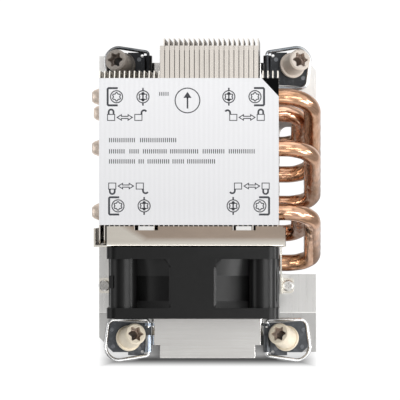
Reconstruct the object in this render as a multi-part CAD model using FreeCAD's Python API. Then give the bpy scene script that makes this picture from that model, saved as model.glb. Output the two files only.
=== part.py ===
"""Server CPU heatsink for a tall narrow socket, with fin stack, heat pipes and one fan.

Frame: millimetres, +Z up. The origin is the centre of the base, on the contact face
that rests on the processor (z = 0). -Y is the air intake (fan) side, +Y the outlet.
The heat pipes turn up on the +X side.
"""
import FreeCAD, Part
import math
import os

V = FreeCAD.Vector
X_AXIS, Y_AXIS, Z_AXIS = V(1, 0, 0), V(0, 1, 0), V(0, 0, 1)

# ---- fits --------------------------------------------------------------------
running_gap = 0.1        # between moving pieces and what they run beside
solder_gap = 0.05        # around each heat pipe, filled by solder
thin_gap = 0.05          # between stacked pieces that only lie side by side
same = 0.01              # two coordinates nearer than this are the same

# ---- main sizes --------------------------------------------------------------
fan_size = 60.0          # square fan; the base, the stack and the nuts follow its width
base_half_x = fan_size / 2 + 9.0
base_half_y = 53.2       # side wings
nut_x = base_half_x - 9.6
nut_y = base_half_y - 4.2
spine_half_x = nut_x - 9.4
spine_half_y = base_half_y + 2.2

# ---- base --------------------------------------------------------------------
base_lift = 0.6          # underside of the base above the contact face
base_top = 4.2
wing_drop = 0.7          # the four corner wings are milled lower
wing_start_y = nut_y - 10.0
base_chamfer = 5.2
notch_x = nut_x - 3.5    # inner edge of the recess that lets the pipes turn up
notch_corner_r = 2.8
spine_t = 1.2
spine_bevel = 0.9
corner_notch = (2.9, 4.7)    # beside each hinge, through the spine and the base
spine_top = base_top + spine_t
wing_top = base_top - wing_drop

# ---- heat pipes --------------------------------------------------------------
pipe_r = 3.0
pipe_bend_r = 7.0        # inner pair of pipes, and the least anywhere
pipe_pitch = 10.6        # between the flattened legs under the fins
flat_h = 2.7
flat_w = 2 * pipe_r * math.pi / 2 + flat_h * (1 - math.pi / 2)   # same girth as round
flat_start_x = notch_x - 5.1
round_low_z = 3.5        # axis of the round leg where it leaves the base
tip_r = 1.9
tip_len = 1.6
tip_taper = 0.6          # share of the tip that tapers; the rest is the pinched stub
inner_riser_x = notch_x + pipe_bend_r + 0.1
outer_riser_x = inner_riser_x + 4.6
inner_bends = (pipe_bend_r, pipe_bend_r)     # at the base, at the fins
outer_bends = (pipe_bend_r + 2.0, pipe_bend_r + 3.0)
notch_y = (-2 * pipe_pitch - 4.1, 2 * pipe_pitch + 6.5)

cold_plate_t = 1.0
cold_plate_x = (5.0 - base_half_x, flat_start_x + 0.8)
cold_plate_half_y = 26.5
cold_plate_edge = 0.3
flat_end_x = cold_plate_x[0] + 1.5

# ---- fan ---------------------------------------------------------------------
fan_depth = 25.0
fan_x = -4.05
fan_back_y = fan_depth - nut_y + 9.0
fan_front_flange_t = 3.7
fan_back_flange_t = 4.2
fan_corner_r = 3.5
fan_bore_r = fan_size / 2 - 1.8
fan_flare = 1.2
fan_flat_w = 16.5        # raised flat on each side of the round duct
fan_flat_flare = ((1.0, 1.0), (2.2, 3.0))    # (wider by, within) at front and back flange
fan_flat_edge = 0.8
ramp_rise = 1.0          # the duct widens into each flange
front_ramp_len = 2.4
back_ramp_len = 5.8
fan_hole_half = fan_size / 2 - 5.0
fan_hole_r = 2.15
fan_post_r = 4.7
fan_post_inset = 0.7     # from the hole's axis to the post's
fan_z = spine_top + fan_size / 2
cable_hook = (1.5, 4.4, 3.0)
cable_hook_y = fan_back_y - 14.4
cable_hook_inset = 0.8   # from the flange's side
strut_count = 4
strut_w = 2.4
strut_t = 2.6
strut_setback = 0.4      # struts and motor base stay inside the rear flange
motor_r = 14.6
motor_base_t = 2.0
blade_count = 7
blade_gap = 0.8
blade_t = 1.0
blade_camber = 1.6
blade_setback = 1.2      # from each end of the hub to the blade
blade_root_r = motor_r - 1.0
blade_end_r = fan_bore_r + 0.7       # past the tip, where the loft is trimmed round
blade_middle_r = (blade_root_r + blade_end_r) / 2
# sideways half-width of the blade at those three radii
blade_half_w = (9.0, 11.0, 12.5)
rotor_front_gap = 1.6
rotor_back_gap = 1.0
cup_wall = 1.6
cup_edge_r = 1.5
hub_face_t = 3.2
magnet_t = 1.2
air_gap = 0.4
board_t = 1.0
shaft_r = 1.0
shaft_setback = 1.5      # from the fan's back to the shaft's end
hub_boss_r = 3.0
bearing_r = 3.0
bearing_len = 2.6
bearing_fit = 0.04
tube_wall = 1.1
tube_end_t = 0.8
tube_depth = 12.0        # from the fan's back to the tube's front end
pole_count = 4
pole_slot_w = 1.6
pole_slot_r = 6.5
core_setback = 1.0       # from the tube's front end to the laminations

# ---- fins --------------------------------------------------------------------
fin_count = (13, 20, 4)  # short left, long middle, short right
stack_x = fan_x - 1.35   # middle of the stack
fin_pitch = (fan_size + 3.75) / sum(fin_count)
fin_first_x = stack_x - fin_pitch * (sum(fin_count) - 1) / 2
fin_t = 0.4
fin_seam = 0.12
fin_top = spine_top + fan_size - 1.0
fin_front_y = fan_back_y + 1.1
flange_front_y = fan_back_y + 7.8
short_back_y = nut_y - 2.6
long_back_y = spine_half_y + 2.3
flange_setback = 2.6     # the plate runs past its folded flange
fin_corner = 2.4         # sloped upper rear corner of each plate
fin_front_corner = 1.5   # clears the shroud's bend
relief_y = nut_y - 8.8   # the short fins clear the nuts and wires below this height
relief_z = 25.0
label_t = 0.15
label_over = 0.15        # hangs over the fins at the front and on the right
label_back_y = short_back_y - flange_setback

# ---- pipe routes -------------------------------------------------------------
pipe_tip_x = fin_first_x - 3.2
high_row_z = fin_top - 15.4
low_row_z = fin_top - 30.4
pipe_legs = (2, 1, 0, -1, -2)                  # leg number in the base
pipe_high_y = (32.1, 37.6, 19.6, -2.4, -2.8)   # y of the leg in the fins
pipe_rows = (low_row_z, high_row_z, high_row_z, low_row_z, high_row_z)
pipe_risers = (inner_riser_x, outer_riser_x, outer_riser_x, inner_riser_x, outer_riser_x)
pipe_bends = (inner_bends, outer_bends, outer_bends, inner_bends, outer_bends)
pipe_table = tuple(zip(pipe_legs, pipe_high_y, pipe_rows, pipe_risers, pipe_bends))

# ---- shroud ------------------------------------------------------------------
sheet_t = 0.6
shroud_bend_r = 0.9
shroud_back_y = flange_front_y - 0.6
shroud_wall_back_y = shroud_back_y - 0.7
shroud_margin = 2.4      # from the fin stack to each side wall
shroud_top_left_x = fin_first_x + 2.5
tab_half_w = 2.75
tab_slot = 1.4
tab_x = (stack_x - 14.8, stack_x + 19.2)
arm_z = 14.0
wall_low_z = 12.0
foot_y = (fan_back_y - 17.1, fan_back_y - 11.6)
foot_reach = fan_size / 2 + 4.95     # from the fan's centre line
foot_screw_offset = fan_size / 2 + 3.0
foot_corner_r = 1.0
screw_r = 1.25
screw_head_r = 2.05
screw_head_h = 1.3
screw_head_edge_r = 0.5
screw_len = 3.2
cross_w = 0.6
cross_half = 1.2
cross_depth = 0.8
fan_screw_r = 1.7
fan_screw_len = 9.0
fan_screw_head_r = 3.1
fan_screw_head_h = 1.5

# ---- corner fixings, in the rear right corner; the other three mirror it -----
clip_t = 0.6
clip_out_x = nut_x + 6.5
clip_y = (nut_y - 6.8, nut_y + 5.4)
clip_step_x = nut_x - 0.8
clip_step_y = nut_y + 4.3
clip_chamfer = (nut_x + 4.6, nut_y + 2.5)
clip_corner = 1.2
clip_slope = 0.7         # the outer edge runs this much back at the hinge
clip_tail_w = 1.5        # plate left beside the end of the barrel
sight_hole = (nut_x - 5.9, nut_y + 4.2, 0.55)
rivet_spots = ((nut_x + 5.0, nut_y - 3.8), (nut_x + 4.6, nut_y + 2.3),
               (nut_x - 4.8, nut_y + 2.9))
rivet_r = 0.45
rivet_head_r = 0.75
rivet_head_h = 0.25
rivet_len = 2.2
wire_r = 0.55
barrel_y = (nut_y - 6.1, nut_y + 4.3)
window_y = (nut_y - 5.1, nut_y - 1.8)
window_half = 2.0
barrel_r = wire_r + running_gap + clip_t
hinge_x = spine_half_x + running_gap + barrel_r
hinge_z = wing_top + barrel_r
# corners of the wire loop: (x, y, bend radius), from the hinge round the nut and back
wire_path = (
    (hinge_x, nut_y - 4.4, 0.0),
    (hinge_x, nut_y - 7.4, 1.2),
    (nut_x + 6.0, nut_y - 7.4, 2.2),
    (nut_x + 7.6, nut_y + 3.9, 2.6),
    (nut_x + 4.1, nut_y + 7.4, 2.0),
    (hinge_x, nut_y + 5.5, 0.9),
    (hinge_x, nut_y + 1.2, 0.0),
)

nut_trap_r = 2.75
nut_hole_r = 4.9
nut_spigot_r = 2.2
nut_lip_r = 3.25
nut_lip_t = 0.5
nut_lip_z = -2.0
nut_flange_r = 4.6
nut_flange_z = 2.7
nut_flange_t = 1.0
nut_body_r = 3.9
nut_top_z = 11.8
nut_edge = 0.5
nut_thread_r = 1.65
socket_depth = 3.2
socket_tip_d = 5.6
socket_flat_d = 3.99
socket_lobe_r = 0.46
# where each loose nut leans: sideways travel of its top
nut_lean = {
    "front_left": (3.9, 2.6),
    "front_right": (-3.9, 2.7),
    "rear_left": (-3.4, 2.6),
    "rear_right": (4.0, 2.6),
}
corners = {
    "front_left": (-1, -1),
    "front_right": (1, -1),
    "rear_left": (-1, 1),
    "rear_right": (1, 1),
}


# ---- helpers -----------------------------------------------------------------
def box(x0, x1, y0, y1, z0, z1):
    """Box between two corners."""
    return Part.makeBox(x1 - x0, y1 - y0, z1 - z0, V(x0, y0, z0))


def rod(r, start, end):
    """Round bar between two points."""
    path = end - start
    return Part.makeCylinder(r, path.Length, start, path)


def prism(points, z0, z1):
    """Upright prism over a closed outline of (x, y) points."""
    ring = [V(x, y, z0) for x, y in points]
    face = Part.Face(Part.makePolygon(ring + ring[:1]))
    return face.extrude(V(0, 0, z1 - z0))


def mirrored(points, sx, sy):
    """Outline moved to another corner of the base."""
    return [(sx * x, sy * y) for x, y in points]


def rounded_path(corners_list):
    """Wire through (point, radius) corners, with an arc at each inner one."""
    edges = []
    last = corners_list[0][0]
    for i in range(1, len(corners_list) - 1):
        p, r = corners_list[i]
        before = (corners_list[i - 1][0] - p).normalize()
        after = (corners_list[i + 1][0] - p).normalize()
        half = before.getAngle(after) / 2
        reach = r / math.tan(half)
        a, b = p + before * reach, p + after * reach
        bisector = (before + after).normalize()
        middle = p + bisector * (r / math.sin(half) - r)
        edges.append(Part.LineSegment(last, a).toShape())
        edges.append(Part.Arc(a, middle, b).toShape())
        last = b
    edges.append(Part.LineSegment(last, corners_list[-1][0]).toShape())
    return Part.Wire(edges)


def swept_round(path, r):
    """Round bar along a wire."""
    start = path.Vertexes[0].Point
    direction = path.Edges[0].tangentAt(path.Edges[0].FirstParameter)
    profile = Part.Wire(Part.makeCircle(r, start, direction))
    sweep = Part.BRepOffsetAPI.MakePipeShell(path)
    sweep.add(profile)
    sweep.build()
    sweep.makeSolid()
    return sweep.shape()


def fused(shapes):
    """One solid from several that meet."""
    return shapes[0].multiFuse(shapes[1:]).removeSplitter()


def pipe_y(leg):
    """Y of a leg in the base, from its number."""
    return leg * pipe_pitch


# ---- base --------------------------------------------------------------------
def obround(w, h, x, y, z):
    """Closed outline across X: flat top and bottom, round sides, in four edges."""
    r, s = h / 2, (w - h) / 2
    top = Part.LineSegment(V(x, y + s, z + r), V(x, y - s, z + r)).toShape()
    left = Part.Arc(V(x, y - s, z + r), V(x, y - s - r, z), V(x, y - s, z - r)).toShape()
    low = Part.LineSegment(V(x, y - s, z - r), V(x, y + s, z - r)).toShape()
    right = Part.Arc(V(x, y + s, z - r), V(x, y + s + r, z), V(x, y + s, z + r)).toShape()
    return Part.Wire([top, left, low, right])


def round_in_four(r, x, y, z):
    """Circle across X in four arcs that match the edges of obround."""
    def at(degrees):
        a = math.radians(degrees)
        return V(x, y + r * math.cos(a), z + r * math.sin(a))
    arcs = []
    eighth = 45
    for start in range(eighth, 360, 2 * eighth):
        arcs.append(Part.Arc(at(start), at(start + eighth), at(start + 2 * eighth)).toShape())
    return Part.Wire(arcs)


def base_plate():
    """Aluminium carrier: stepped wings, pipe recess, channels and corner holes."""
    c = base_chamfer
    x, y, s, t = base_half_x, base_half_y, spine_half_x, spine_half_y
    outline = [(-s, -t), (s, -t), (s, -y), (x, -y), (x, y - c), (x - c, y), (s, y),
               (s, t), (-s, t), (-s, y), (-x, y), (-x, c - y), (c - x, -y), (-s, -y)]
    plate = prism(outline, base_lift, base_top)
    recess = box(notch_x, 2 * x, notch_y[0], notch_y[1], 0, base_top)
    inner_edges = [e for e in recess.Edges if abs(e.BoundBox.XMax - notch_x) < same
                   and e.BoundBox.ZLength > base_top / 2]
    recess = recess.makeFillet(notch_corner_r, inner_edges)
    cuts = [recess]
    nx, ny = corner_notch
    for sx, sy in corners.values():
        cuts.append(prism(mirrored([(s - nx, t - ny), (s, t - ny), (s, 2 * t),
                                    (s - nx, 2 * t)], sx, sy), 0, base_top))
        wing = prism(mirrored([(s, wing_start_y), (2 * x, wing_start_y),
                               (2 * x, 2 * y), (s, 2 * y)], sx, sy), wing_top, base_top)
        cuts.append(wing)
        cuts.append(rod(nut_hole_r, V(sx * nut_x, sy * nut_y, 0),
                        V(sx * nut_x, sy * nut_y, base_top)))
        for rx, ry in rivet_spots:
            spot = V(sx * rx, sy * ry, wing_top)
            cuts.append(rod(rivet_r, spot - Z_AXIS * (rivet_len - clip_t), spot))
    cuts.append(box(cold_plate_x[0] - thin_gap, cold_plate_x[1] + thin_gap,
                    -cold_plate_half_y - thin_gap, cold_plate_half_y + thin_gap,
                    0, cold_plate_t))
    for leg in range(-2, 3):
        cuts.append(pipe_channel(pipe_y(leg)))
    for side in (-1, 1):
        spot = V(fan_x + side * foot_screw_offset, sum(foot_y) / 2, base_top)
        cuts.append(rod(screw_r, spot - Z_AXIS * screw_len, spot))
    return plate.cut(cuts).removeSplitter()


def pipe_channel(y):
    """Space of one flattened leg and of its run-out to round at the recess."""
    w, h = flat_w + 2 * solder_gap, flat_h + solder_gap
    flat = box(flat_end_x - solder_gap, flat_start_x, y - w / 2, y + w / 2,
               0, cold_plate_t + h)
    run_out = box(flat_start_x, base_half_x, y - w / 2, y + w / 2, 0, base_top)
    return flat.fuse(run_out)


def base_spine():
    """Brushed bar along the middle, bevelled, with its corners notched for the wires."""
    x, y = spine_half_x, spine_half_y
    nx, ny = corner_notch
    outline = [(-x + nx, -y), (x - nx, -y), (x - nx, -y + ny), (x, -y + ny),
               (x, y - ny), (x - nx, y - ny), (x - nx, y), (-x + nx, y),
               (-x + nx, y - ny), (-x, y - ny), (-x, -y + ny), (-x + nx, -y + ny)]
    bar = prism(outline, base_top, spine_top)
    long_edges = [e for e in bar.Edges if e.BoundBox.ZMin > spine_top - same
                  and e.BoundBox.YLength > y]
    return bar.makeChamfer(spine_bevel, long_edges)


def cold_plate():
    """Copper plate that closes the pipe channels and touches the processor."""
    plate = box(cold_plate_x[0], cold_plate_x[1], -cold_plate_half_y, cold_plate_half_y,
                0, cold_plate_t)
    rim = [e for e in plate.Edges if e.BoundBox.ZMax < same]
    return plate.makeChamfer(cold_plate_edge, rim)


# ---- heat pipes --------------------------------------------------------------
def heat_pipe(leg, high_y, high_z, riser_x, bends):
    """C-bent pipe: flat under the fins, round at the bends, swaged shut at the tip."""
    y = pipe_y(leg)
    flat_z = cold_plate_t + flat_h / 2
    flat = Part.Face(obround(flat_w, flat_h, flat_end_x, y, flat_z)).extrude(
        V(flat_start_x - flat_end_x, 0, 0))
    change = Part.makeLoft([obround(flat_w, flat_h, flat_start_x, y, flat_z),
                            round_in_four(pipe_r, notch_x, y, round_low_z)], True, True)
    path = rounded_path([
        (V(notch_x, y, round_low_z), 0),
        (V(riser_x, y, round_low_z), bends[0]),
        (V(riser_x, high_y, high_z), bends[1]),
        (V(pipe_tip_x + tip_len, high_y, high_z), 0),
    ])
    bend = swept_round(path, pipe_r)
    taper_len = tip_len * tip_taper
    stub_len = tip_len - taper_len
    tip = Part.makeCone(pipe_r, tip_r, taper_len,
                        V(pipe_tip_x + tip_len, high_y, high_z), -X_AXIS)
    stub = Part.makeCylinder(tip_r, stub_len,
                             V(pipe_tip_x + stub_len, high_y, high_z), -X_AXIS)
    return fused([flat, change, bend, tip, stub])


# ---- fins --------------------------------------------------------------------
def fin(index):
    """One folded sheet fin: plate, top and bottom flange, pipe holes."""
    left, middle, _ = fin_count
    is_long = left <= index < left + middle
    x = fin_first_x + index * fin_pitch
    back = long_back_y if is_long else short_back_y
    on_spine = x > -spine_half_x and x - fin_pitch < spine_half_x
    foot = spine_top if on_spine else base_top
    outline = [V(0, fin_front_y, foot), V(0, fin_front_y, fin_top - fin_front_corner),
               V(0, fin_front_y + fin_front_corner, fin_top),
               V(0, back - flange_setback, fin_top), V(0, back, fin_top - fin_corner)]
    if is_long:
        outline += [V(0, back, foot)]
        foot_back = spine_half_y
    else:
        outline += [V(0, back, relief_z), V(0, relief_y, relief_z), V(0, relief_y, foot)]
        foot_back = relief_y
    wires = [Part.makePolygon(outline + outline[:1])]
    for _, high_y, high_z, _, _ in pipe_table:
        hole = Part.makeCircle(pipe_r + solder_gap, V(0, high_y, high_z), X_AXIS)
        wires.append(Part.Wire(hole))
    plate = Part.makeFace(wires, "Part::FaceMakerBullseye").extrude(V(fin_t, 0, 0))
    plate.translate(V(x - fin_t / 2, 0, 0))
    if index == 0:
        return plate         # the first plate has no neighbour to fold towards
    x0, x1 = x + fin_t / 2 - fin_pitch + fin_seam, x + fin_t / 2
    top = box(x0, x1, flange_front_y, back - flange_setback, fin_top - fin_t, fin_top)
    bottom = box(x0, x1, fin_front_y, foot_back, foot, foot + fin_t)
    sheet = fused([plate, top, bottom])
    if x1 > flat_start_x:
        reach = pipe_r + 3 * solder_gap
        for leg in range(-2, 3):
            y = pipe_y(leg)
            sheet = sheet.cut(box(x0, x1, y - reach, y + reach, foot,
                                  round_low_z + reach))
    return sheet


def fin_stack(first, count):
    """Group of neighbouring fins."""
    return Part.makeCompound([fin(i) for i in range(first, first + count)])


def fin_edge_x(index, right):
    """Outer X of the stack at one of its end fins."""
    x = fin_first_x + index * fin_pitch + fin_t / 2
    return x if right else x - fin_pitch + fin_seam


def top_label():
    """Film label over the folded tops of the fins."""
    last = sum(fin_count) - 1
    return box(fin_edge_x(0, True) - fin_t, fin_edge_x(last, True) + label_over,
               flange_front_y - label_over, label_back_y, fin_top, fin_top + label_t)


# ---- fan ---------------------------------------------------------------------
def fan_axis(y):
    """Point on the fan's axis."""
    return V(fan_x, y, fan_z)


def fan_block(half, y0, y1):
    """Square slice of the fan's outer form."""
    return box(fan_x - half, fan_x + half, y0, y1, fan_z - half, fan_z + half)


def fan_frame():
    """Moulded duct with two square flanges, corner posts, struts and bearing tube."""
    half = fan_size / 2
    front = fan_back_y - fan_depth
    front_in, back_in = front + fan_front_flange_t, fan_back_y - fan_back_flange_t
    duct_r = half
    wide_r = duct_r + ramp_rise
    duct = rod(duct_r, fan_axis(front), fan_axis(fan_back_y)).multiFuse([
        Part.makeCone(wide_r, duct_r, front_ramp_len, fan_axis(front_in), Y_AXIS),
        Part.makeCone(wide_r, duct_r, back_ramp_len, fan_axis(back_in), -Y_AXIS)])
    solids = [duct.common(fan_block(half, front, fan_back_y))]
    solids += [fan_flat(front_in, back_in).rotate(fan_axis(0), Y_AXIS, turn)
               for turn in range(0, 360, 90)]
    for y0, y1 in ((front, front_in), (back_in, fan_back_y)):
        plate = fan_block(half, y0, y1)
        rim = [e for e in plate.Edges if e.BoundBox.YLength > (y1 - y0) / 2]
        solids.append(plate.makeFillet(fan_corner_r, rim))
    holes = []
    for sx in (-1, 1):
        for sz in (-1, 1):
            offset = V(sx, 0, sz) * fan_hole_half
            a, b = fan_axis(front) + offset, fan_axis(fan_back_y) + offset
            inset = V(sx, 0, sz) * fan_post_inset
            solids.append(rod(fan_post_r, a - inset, b - inset))
            holes.append(rod(fan_hole_r, a, b))
            holes.append(screw_cone(b, running_gap))
    hook_w, hook_l, hook_h = cable_hook
    hook_x = fan_x - half + cable_hook_inset
    hook_z = fan_z + fan_hole_half
    solids.append(box(hook_x, hook_x + hook_w, cable_hook_y, cable_hook_y + hook_l,
                      hook_z, hook_z + hook_h))
    bore = rod(fan_bore_r, fan_axis(front), fan_axis(fan_back_y))
    flare = Part.makeCone(fan_bore_r + fan_flare, fan_bore_r, 2 * fan_flare,
                          fan_axis(front), Y_AXIS)
    body = fused(solids).cut(holes + [bore, flare])
    back = strut_back_y()
    strut_front = back - strut_t
    inner = [rod(motor_r, fan_axis(back - motor_base_t), fan_axis(back))]
    for i in range(strut_count):
        arm = box(fan_x + blade_root_r, fan_x + (fan_bore_r + half) / 2, strut_front, back,
                  fan_z - strut_w / 2, fan_z + strut_w / 2)
        inner.append(arm.rotate(fan_axis(0), Y_AXIS, 45 + i * 360 / strut_count))
    tube_r = bearing_r + tube_wall
    inner.append(rod(tube_r, fan_axis(tube_front_y()), fan_axis(back)))
    tube_bore = rod(bearing_r, fan_axis(tube_front_y()), fan_axis(back - tube_end_t))
    return fused([body] + inner).cut(tube_bore)


def fan_flat(y0, y1):
    """Raised flat over the duct, wider where it runs into each flange."""
    w = fan_flat_w / 2
    (front_wider, front_len), (back_wider, back_len) = fan_flat_flare
    right = [(w + front_wider, y0), (w, y0 + front_len), (w, y1 - back_len),
             (w + back_wider, y1)]
    left = [(-x, y) for x, y in right[::-1]]
    outline = [(fan_x + x, y) for x, y in right + left]
    low, top = fan_z + fan_bore_r + thin_gap, fan_z + fan_size / 2
    pad = prism(outline, low, top)
    sides = [e for e in pad.Edges if e.BoundBox.ZMin > top - same
             and e.BoundBox.XLength < fan_flat_w / 2]
    return pad.makeChamfer(fan_flat_edge, sides)


def strut_back_y():
    """Back of the struts and of the motor base."""
    return fan_back_y - strut_setback


def tube_front_y():
    """Front end of the bearing tube."""
    return fan_back_y - tube_depth


def rotor_y():
    """Front and back of the rotor."""
    front = fan_back_y - fan_depth + rotor_front_gap
    back = strut_back_y() - max(strut_t, motor_base_t) - rotor_back_gap
    return front, back


def blade(front, back):
    """One cambered blade, lofted from its root to the tip."""
    axial = (back - front) / 2 - blade_setback
    mid = (front + back) / 2
    wires = []
    for radius, half_w in zip((blade_root_r, blade_middle_r, blade_end_r), blade_half_w):
        upper, lower = [], []
        for k in range(5):
            u = -1 + k / 2
            bow = blade_camber * (1 - u * u)
            upper.append(V(u * half_w + bow + blade_t / 2, mid + u * axial, radius))
            lower.append(V(u * half_w + bow - blade_t / 2, mid + u * axial, radius))
        side_a = Part.BSplineCurve()
        side_a.interpolate(upper)
        side_b = Part.BSplineCurve()
        side_b.interpolate(lower[::-1])
        wires.append(Part.Wire([side_a.toShape(),
                                Part.LineSegment(upper[-1], lower[-1]).toShape(),
                                side_b.toShape(),
                                Part.LineSegment(lower[0], upper[0]).toShape()]))
    wing = Part.makeLoft(wires, True, True)
    wing.translate(fan_axis(0))
    return wing.common(rod(fan_bore_r - blade_gap, fan_axis(front), fan_axis(back)))


def fan_rotor():
    """Hub cup with its blades, open towards the motor."""
    front, back = rotor_y()
    hub = rod(motor_r, fan_axis(front), fan_axis(back))
    rim = [e for e in hub.Edges if e.BoundBox.YMax < front + same]
    hub = hub.makeFillet(cup_edge_r, rim)
    first = blade(front, back)
    solids = [hub]
    for i in range(blade_count):
        solids.append(first.rotated(fan_axis(0), Y_AXIS, i * 360 / blade_count))
    hollow = rod(motor_r - cup_wall, fan_axis(front + hub_face_t), fan_axis(back))
    boss = rod(hub_boss_r, fan_axis(front + cup_wall), fan_axis(boss_back_y()))
    shaft_hole = rod(shaft_r, fan_axis(front + cup_wall), fan_axis(back))
    return fused(solids).cut(hollow).fuse(boss).cut(shaft_hole).removeSplitter()


def boss_back_y():
    """Inner end of the hub's boss, just clear of the bearing tube."""
    return tube_front_y() - 4 * running_gap


def fan_shaft():
    """Steel shaft pressed in the hub's boss and carried by two bearings."""
    front, _ = rotor_y()
    return rod(shaft_r, fan_axis(front + cup_wall), fan_axis(fan_back_y - shaft_setback))


def fan_bearings():
    """Two ball bearings, one at each end of the tube."""
    rings = []
    for y in (tube_front_y(), strut_back_y() - tube_end_t - bearing_len):
        a, b = fan_axis(y), fan_axis(y + bearing_len)
        rings.append(rod(bearing_r, a, b).cut(rod(shaft_r + bearing_fit, a, b)))
    return Part.makeCompound(rings)


def fan_magnet():
    """Ring magnet that lines the hub cup."""
    _, back = rotor_y()
    front = tube_front_y()
    outer = motor_r - cup_wall
    ring = rod(outer, fan_axis(front), fan_axis(back))
    return ring.cut(rod(outer - magnet_t, fan_axis(front), fan_axis(back)))


def board_y():
    """Front and back of the fan's circuit board, which lies on the motor base."""
    back = strut_back_y() - motor_base_t
    return back - board_t, back


def fan_circuit_board():
    """Round board between the motor base and the stator."""
    front, back = board_y()
    disc = rod(stator_r(), fan_axis(front), fan_axis(back))
    return disc.cut(rod(bearing_r + tube_wall, fan_axis(front), fan_axis(back)))


def stator_r():
    """Outer radius of what stands still inside the ring magnet."""
    return motor_r - cup_wall - magnet_t - air_gap


def fan_stator():
    """Laminated core with its windings, four poles round the bearing tube."""
    y0, y1 = tube_front_y() + core_setback, board_y()[0]
    core = rod(stator_r(), fan_axis(y0), fan_axis(y1))
    cuts = [rod(bearing_r + tube_wall, fan_axis(y0), fan_axis(y1))]
    for i in range(pole_count):
        slot = box(fan_x + pole_slot_r, fan_x + motor_r, y0, y1,
                   fan_z - pole_slot_w / 2, fan_z + pole_slot_w / 2)
        cuts.append(slot.rotate(fan_axis(0), Y_AXIS, i * 360 / pole_count))
    return core.cut(cuts).removeSplitter()


def screw_cone(centre, gap):
    """Countersink of one fan screw, from the shroud's inner face."""
    top = V(centre.x, fan_back_y + sheet_t, centre.z)
    return Part.makeCone(fan_screw_head_r + gap, fan_screw_r + gap, fan_screw_head_h,
                         top, -Y_AXIS)


def fan_screws():
    """Four countersunk screws that hold the fan on the shroud."""
    screws = []
    for sx in (-1, 1):
        for sz in (-1, 1):
            spot = fan_axis(fan_back_y + sheet_t) + V(sx, 0, sz) * fan_hole_half
            shank = rod(fan_screw_r, spot - Y_AXIS * fan_screw_head_h,
                        spot - Y_AXIS * fan_screw_len)
            screws.append(fused([screw_cone(spot, 0), shank]))
    return Part.makeCompound(screws)


# ---- shroud ------------------------------------------------------------------
def fan_shroud():
    """Bent sheet that carries the fan: front web, top and side flanges, arms, feet."""
    web_y0, web_y1 = fan_back_y, fan_back_y + sheet_t
    left = fin_edge_x(0, False) - shroud_margin + fin_pitch
    right = fin_edge_x(sum(fin_count) - 1, True) + shroud_margin
    low = spine_top + running_gap
    top = fin_top + sheet_t
    web = box(left, right, web_y0, web_y1, low, top - shroud_bend_r)
    cap = box(shroud_top_left_x, right - sheet_t, web_y0, shroud_back_y,
              fin_top - shroud_bend_r, top)
    edge = [e for e in cap.Edges if e.BoundBox.XLength > fan_size / 2
            and e.BoundBox.YMax < web_y0 + same and e.BoundBox.ZMin > top - same]
    cap = cap.makeFillet(shroud_bend_r, edge)
    core = box(shroud_top_left_x, right, web_y1, 0, 0, fin_top)
    inner = [e for e in core.Edges if e.BoundBox.XLength > fan_size / 2
             and e.BoundBox.YMax < web_y1 + same and e.BoundBox.ZMin > fin_top - same]
    cap = cap.cut(core.makeFillet(shroud_bend_r - sheet_t, inner))
    walls = [box(left, left + sheet_t, web_y0, shroud_wall_back_y, wall_low_z,
                 top - shroud_bend_r),
             box(right - sheet_t, right, web_y0, shroud_wall_back_y, wall_low_z, top)]
    solids = [web, cap] + walls
    for side in (-1, 1):
        solids += shroud_arm(side)
    cuts = [rod(fan_bore_r, fan_axis(web_y0), fan_axis(web_y1))]
    for sx in (-1, 1):
        for sz in (-1, 1):
            spot = fan_axis(web_y1) + V(sx, 0, sz) * fan_hole_half
            cuts.append(screw_cone(spot, 0))
            cuts.append(rod(fan_screw_r + running_gap, spot, spot - Y_AXIS * sheet_t))
    for x in tab_x:
        for side in (-1, 1):
            edge_x = x + side * (tab_half_w + tab_slot / 2)
            cuts.append(box(edge_x - tab_slot / 2, edge_x + tab_slot / 2,
                            shroud_back_y - tab_slot, shroud_back_y, fin_top, top))
    for side in (-1, 1):
        spot = V(fan_x + side * foot_screw_offset, sum(foot_y) / 2, base_top)
        cuts.append(rod(screw_r + running_gap, spot, spot + Z_AXIS * sheet_t))
    y, reach = pipe_y(-2), pipe_r + 4 * running_gap
    cuts.append(box(notch_x, right, y - reach, y + reach, 0, round_low_z + reach))
    return fused(solids).cut(cuts).removeSplitter()


def shroud_arm(side):
    """Arm beside the fan and its screw-down foot; side is -1 left or 1 right."""
    inner = fan_size / 2 + 2 * running_gap
    outer = inner + sheet_t
    x0, x1 = sorted((fan_x + side * inner, fan_x + side * outer))
    arm = box(x0, x1, foot_y[0], fan_back_y + sheet_t, base_top, arm_z)
    f0, f1 = sorted((fan_x + side * inner, fan_x + side * foot_reach))
    foot = box(f0, f1, foot_y[0], foot_y[1], base_top, base_top + sheet_t)
    far = fan_x + side * foot_reach
    rim = [e for e in foot.Edges if e.BoundBox.ZLength > sheet_t / 2
           and abs(e.BoundBox.Center.x - far) < same]
    return [arm, foot.makeFillet(foot_corner_r, rim)]


def shroud_screws():
    """Two cross-recess screws that hold the shroud's feet on the base."""
    screws = []
    for side in (-1, 1):
        spot = V(fan_x + side * foot_screw_offset, sum(foot_y) / 2, base_top + sheet_t)
        shank = rod(screw_r, spot - Z_AXIS * screw_len, spot)
        head = rod(screw_head_r, spot, spot + Z_AXIS * screw_head_h)
        head_top = spot.z + screw_head_h
        rim = [e for e in head.Edges if e.BoundBox.ZMin > head_top - same]
        head = head.makeFillet(screw_head_edge_r, rim)
        cross = []
        for a in (0, 90):
            bar = box(spot.x - cross_half, spot.x + cross_half, spot.y - cross_w / 2,
                      spot.y + cross_w / 2, head_top - cross_depth, head_top)
            cross.append(bar.rotate(spot, Z_AXIS, a))
        screws.append(fused([shank, head]).cut(cross))
    return Part.makeCompound(screws)


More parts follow.
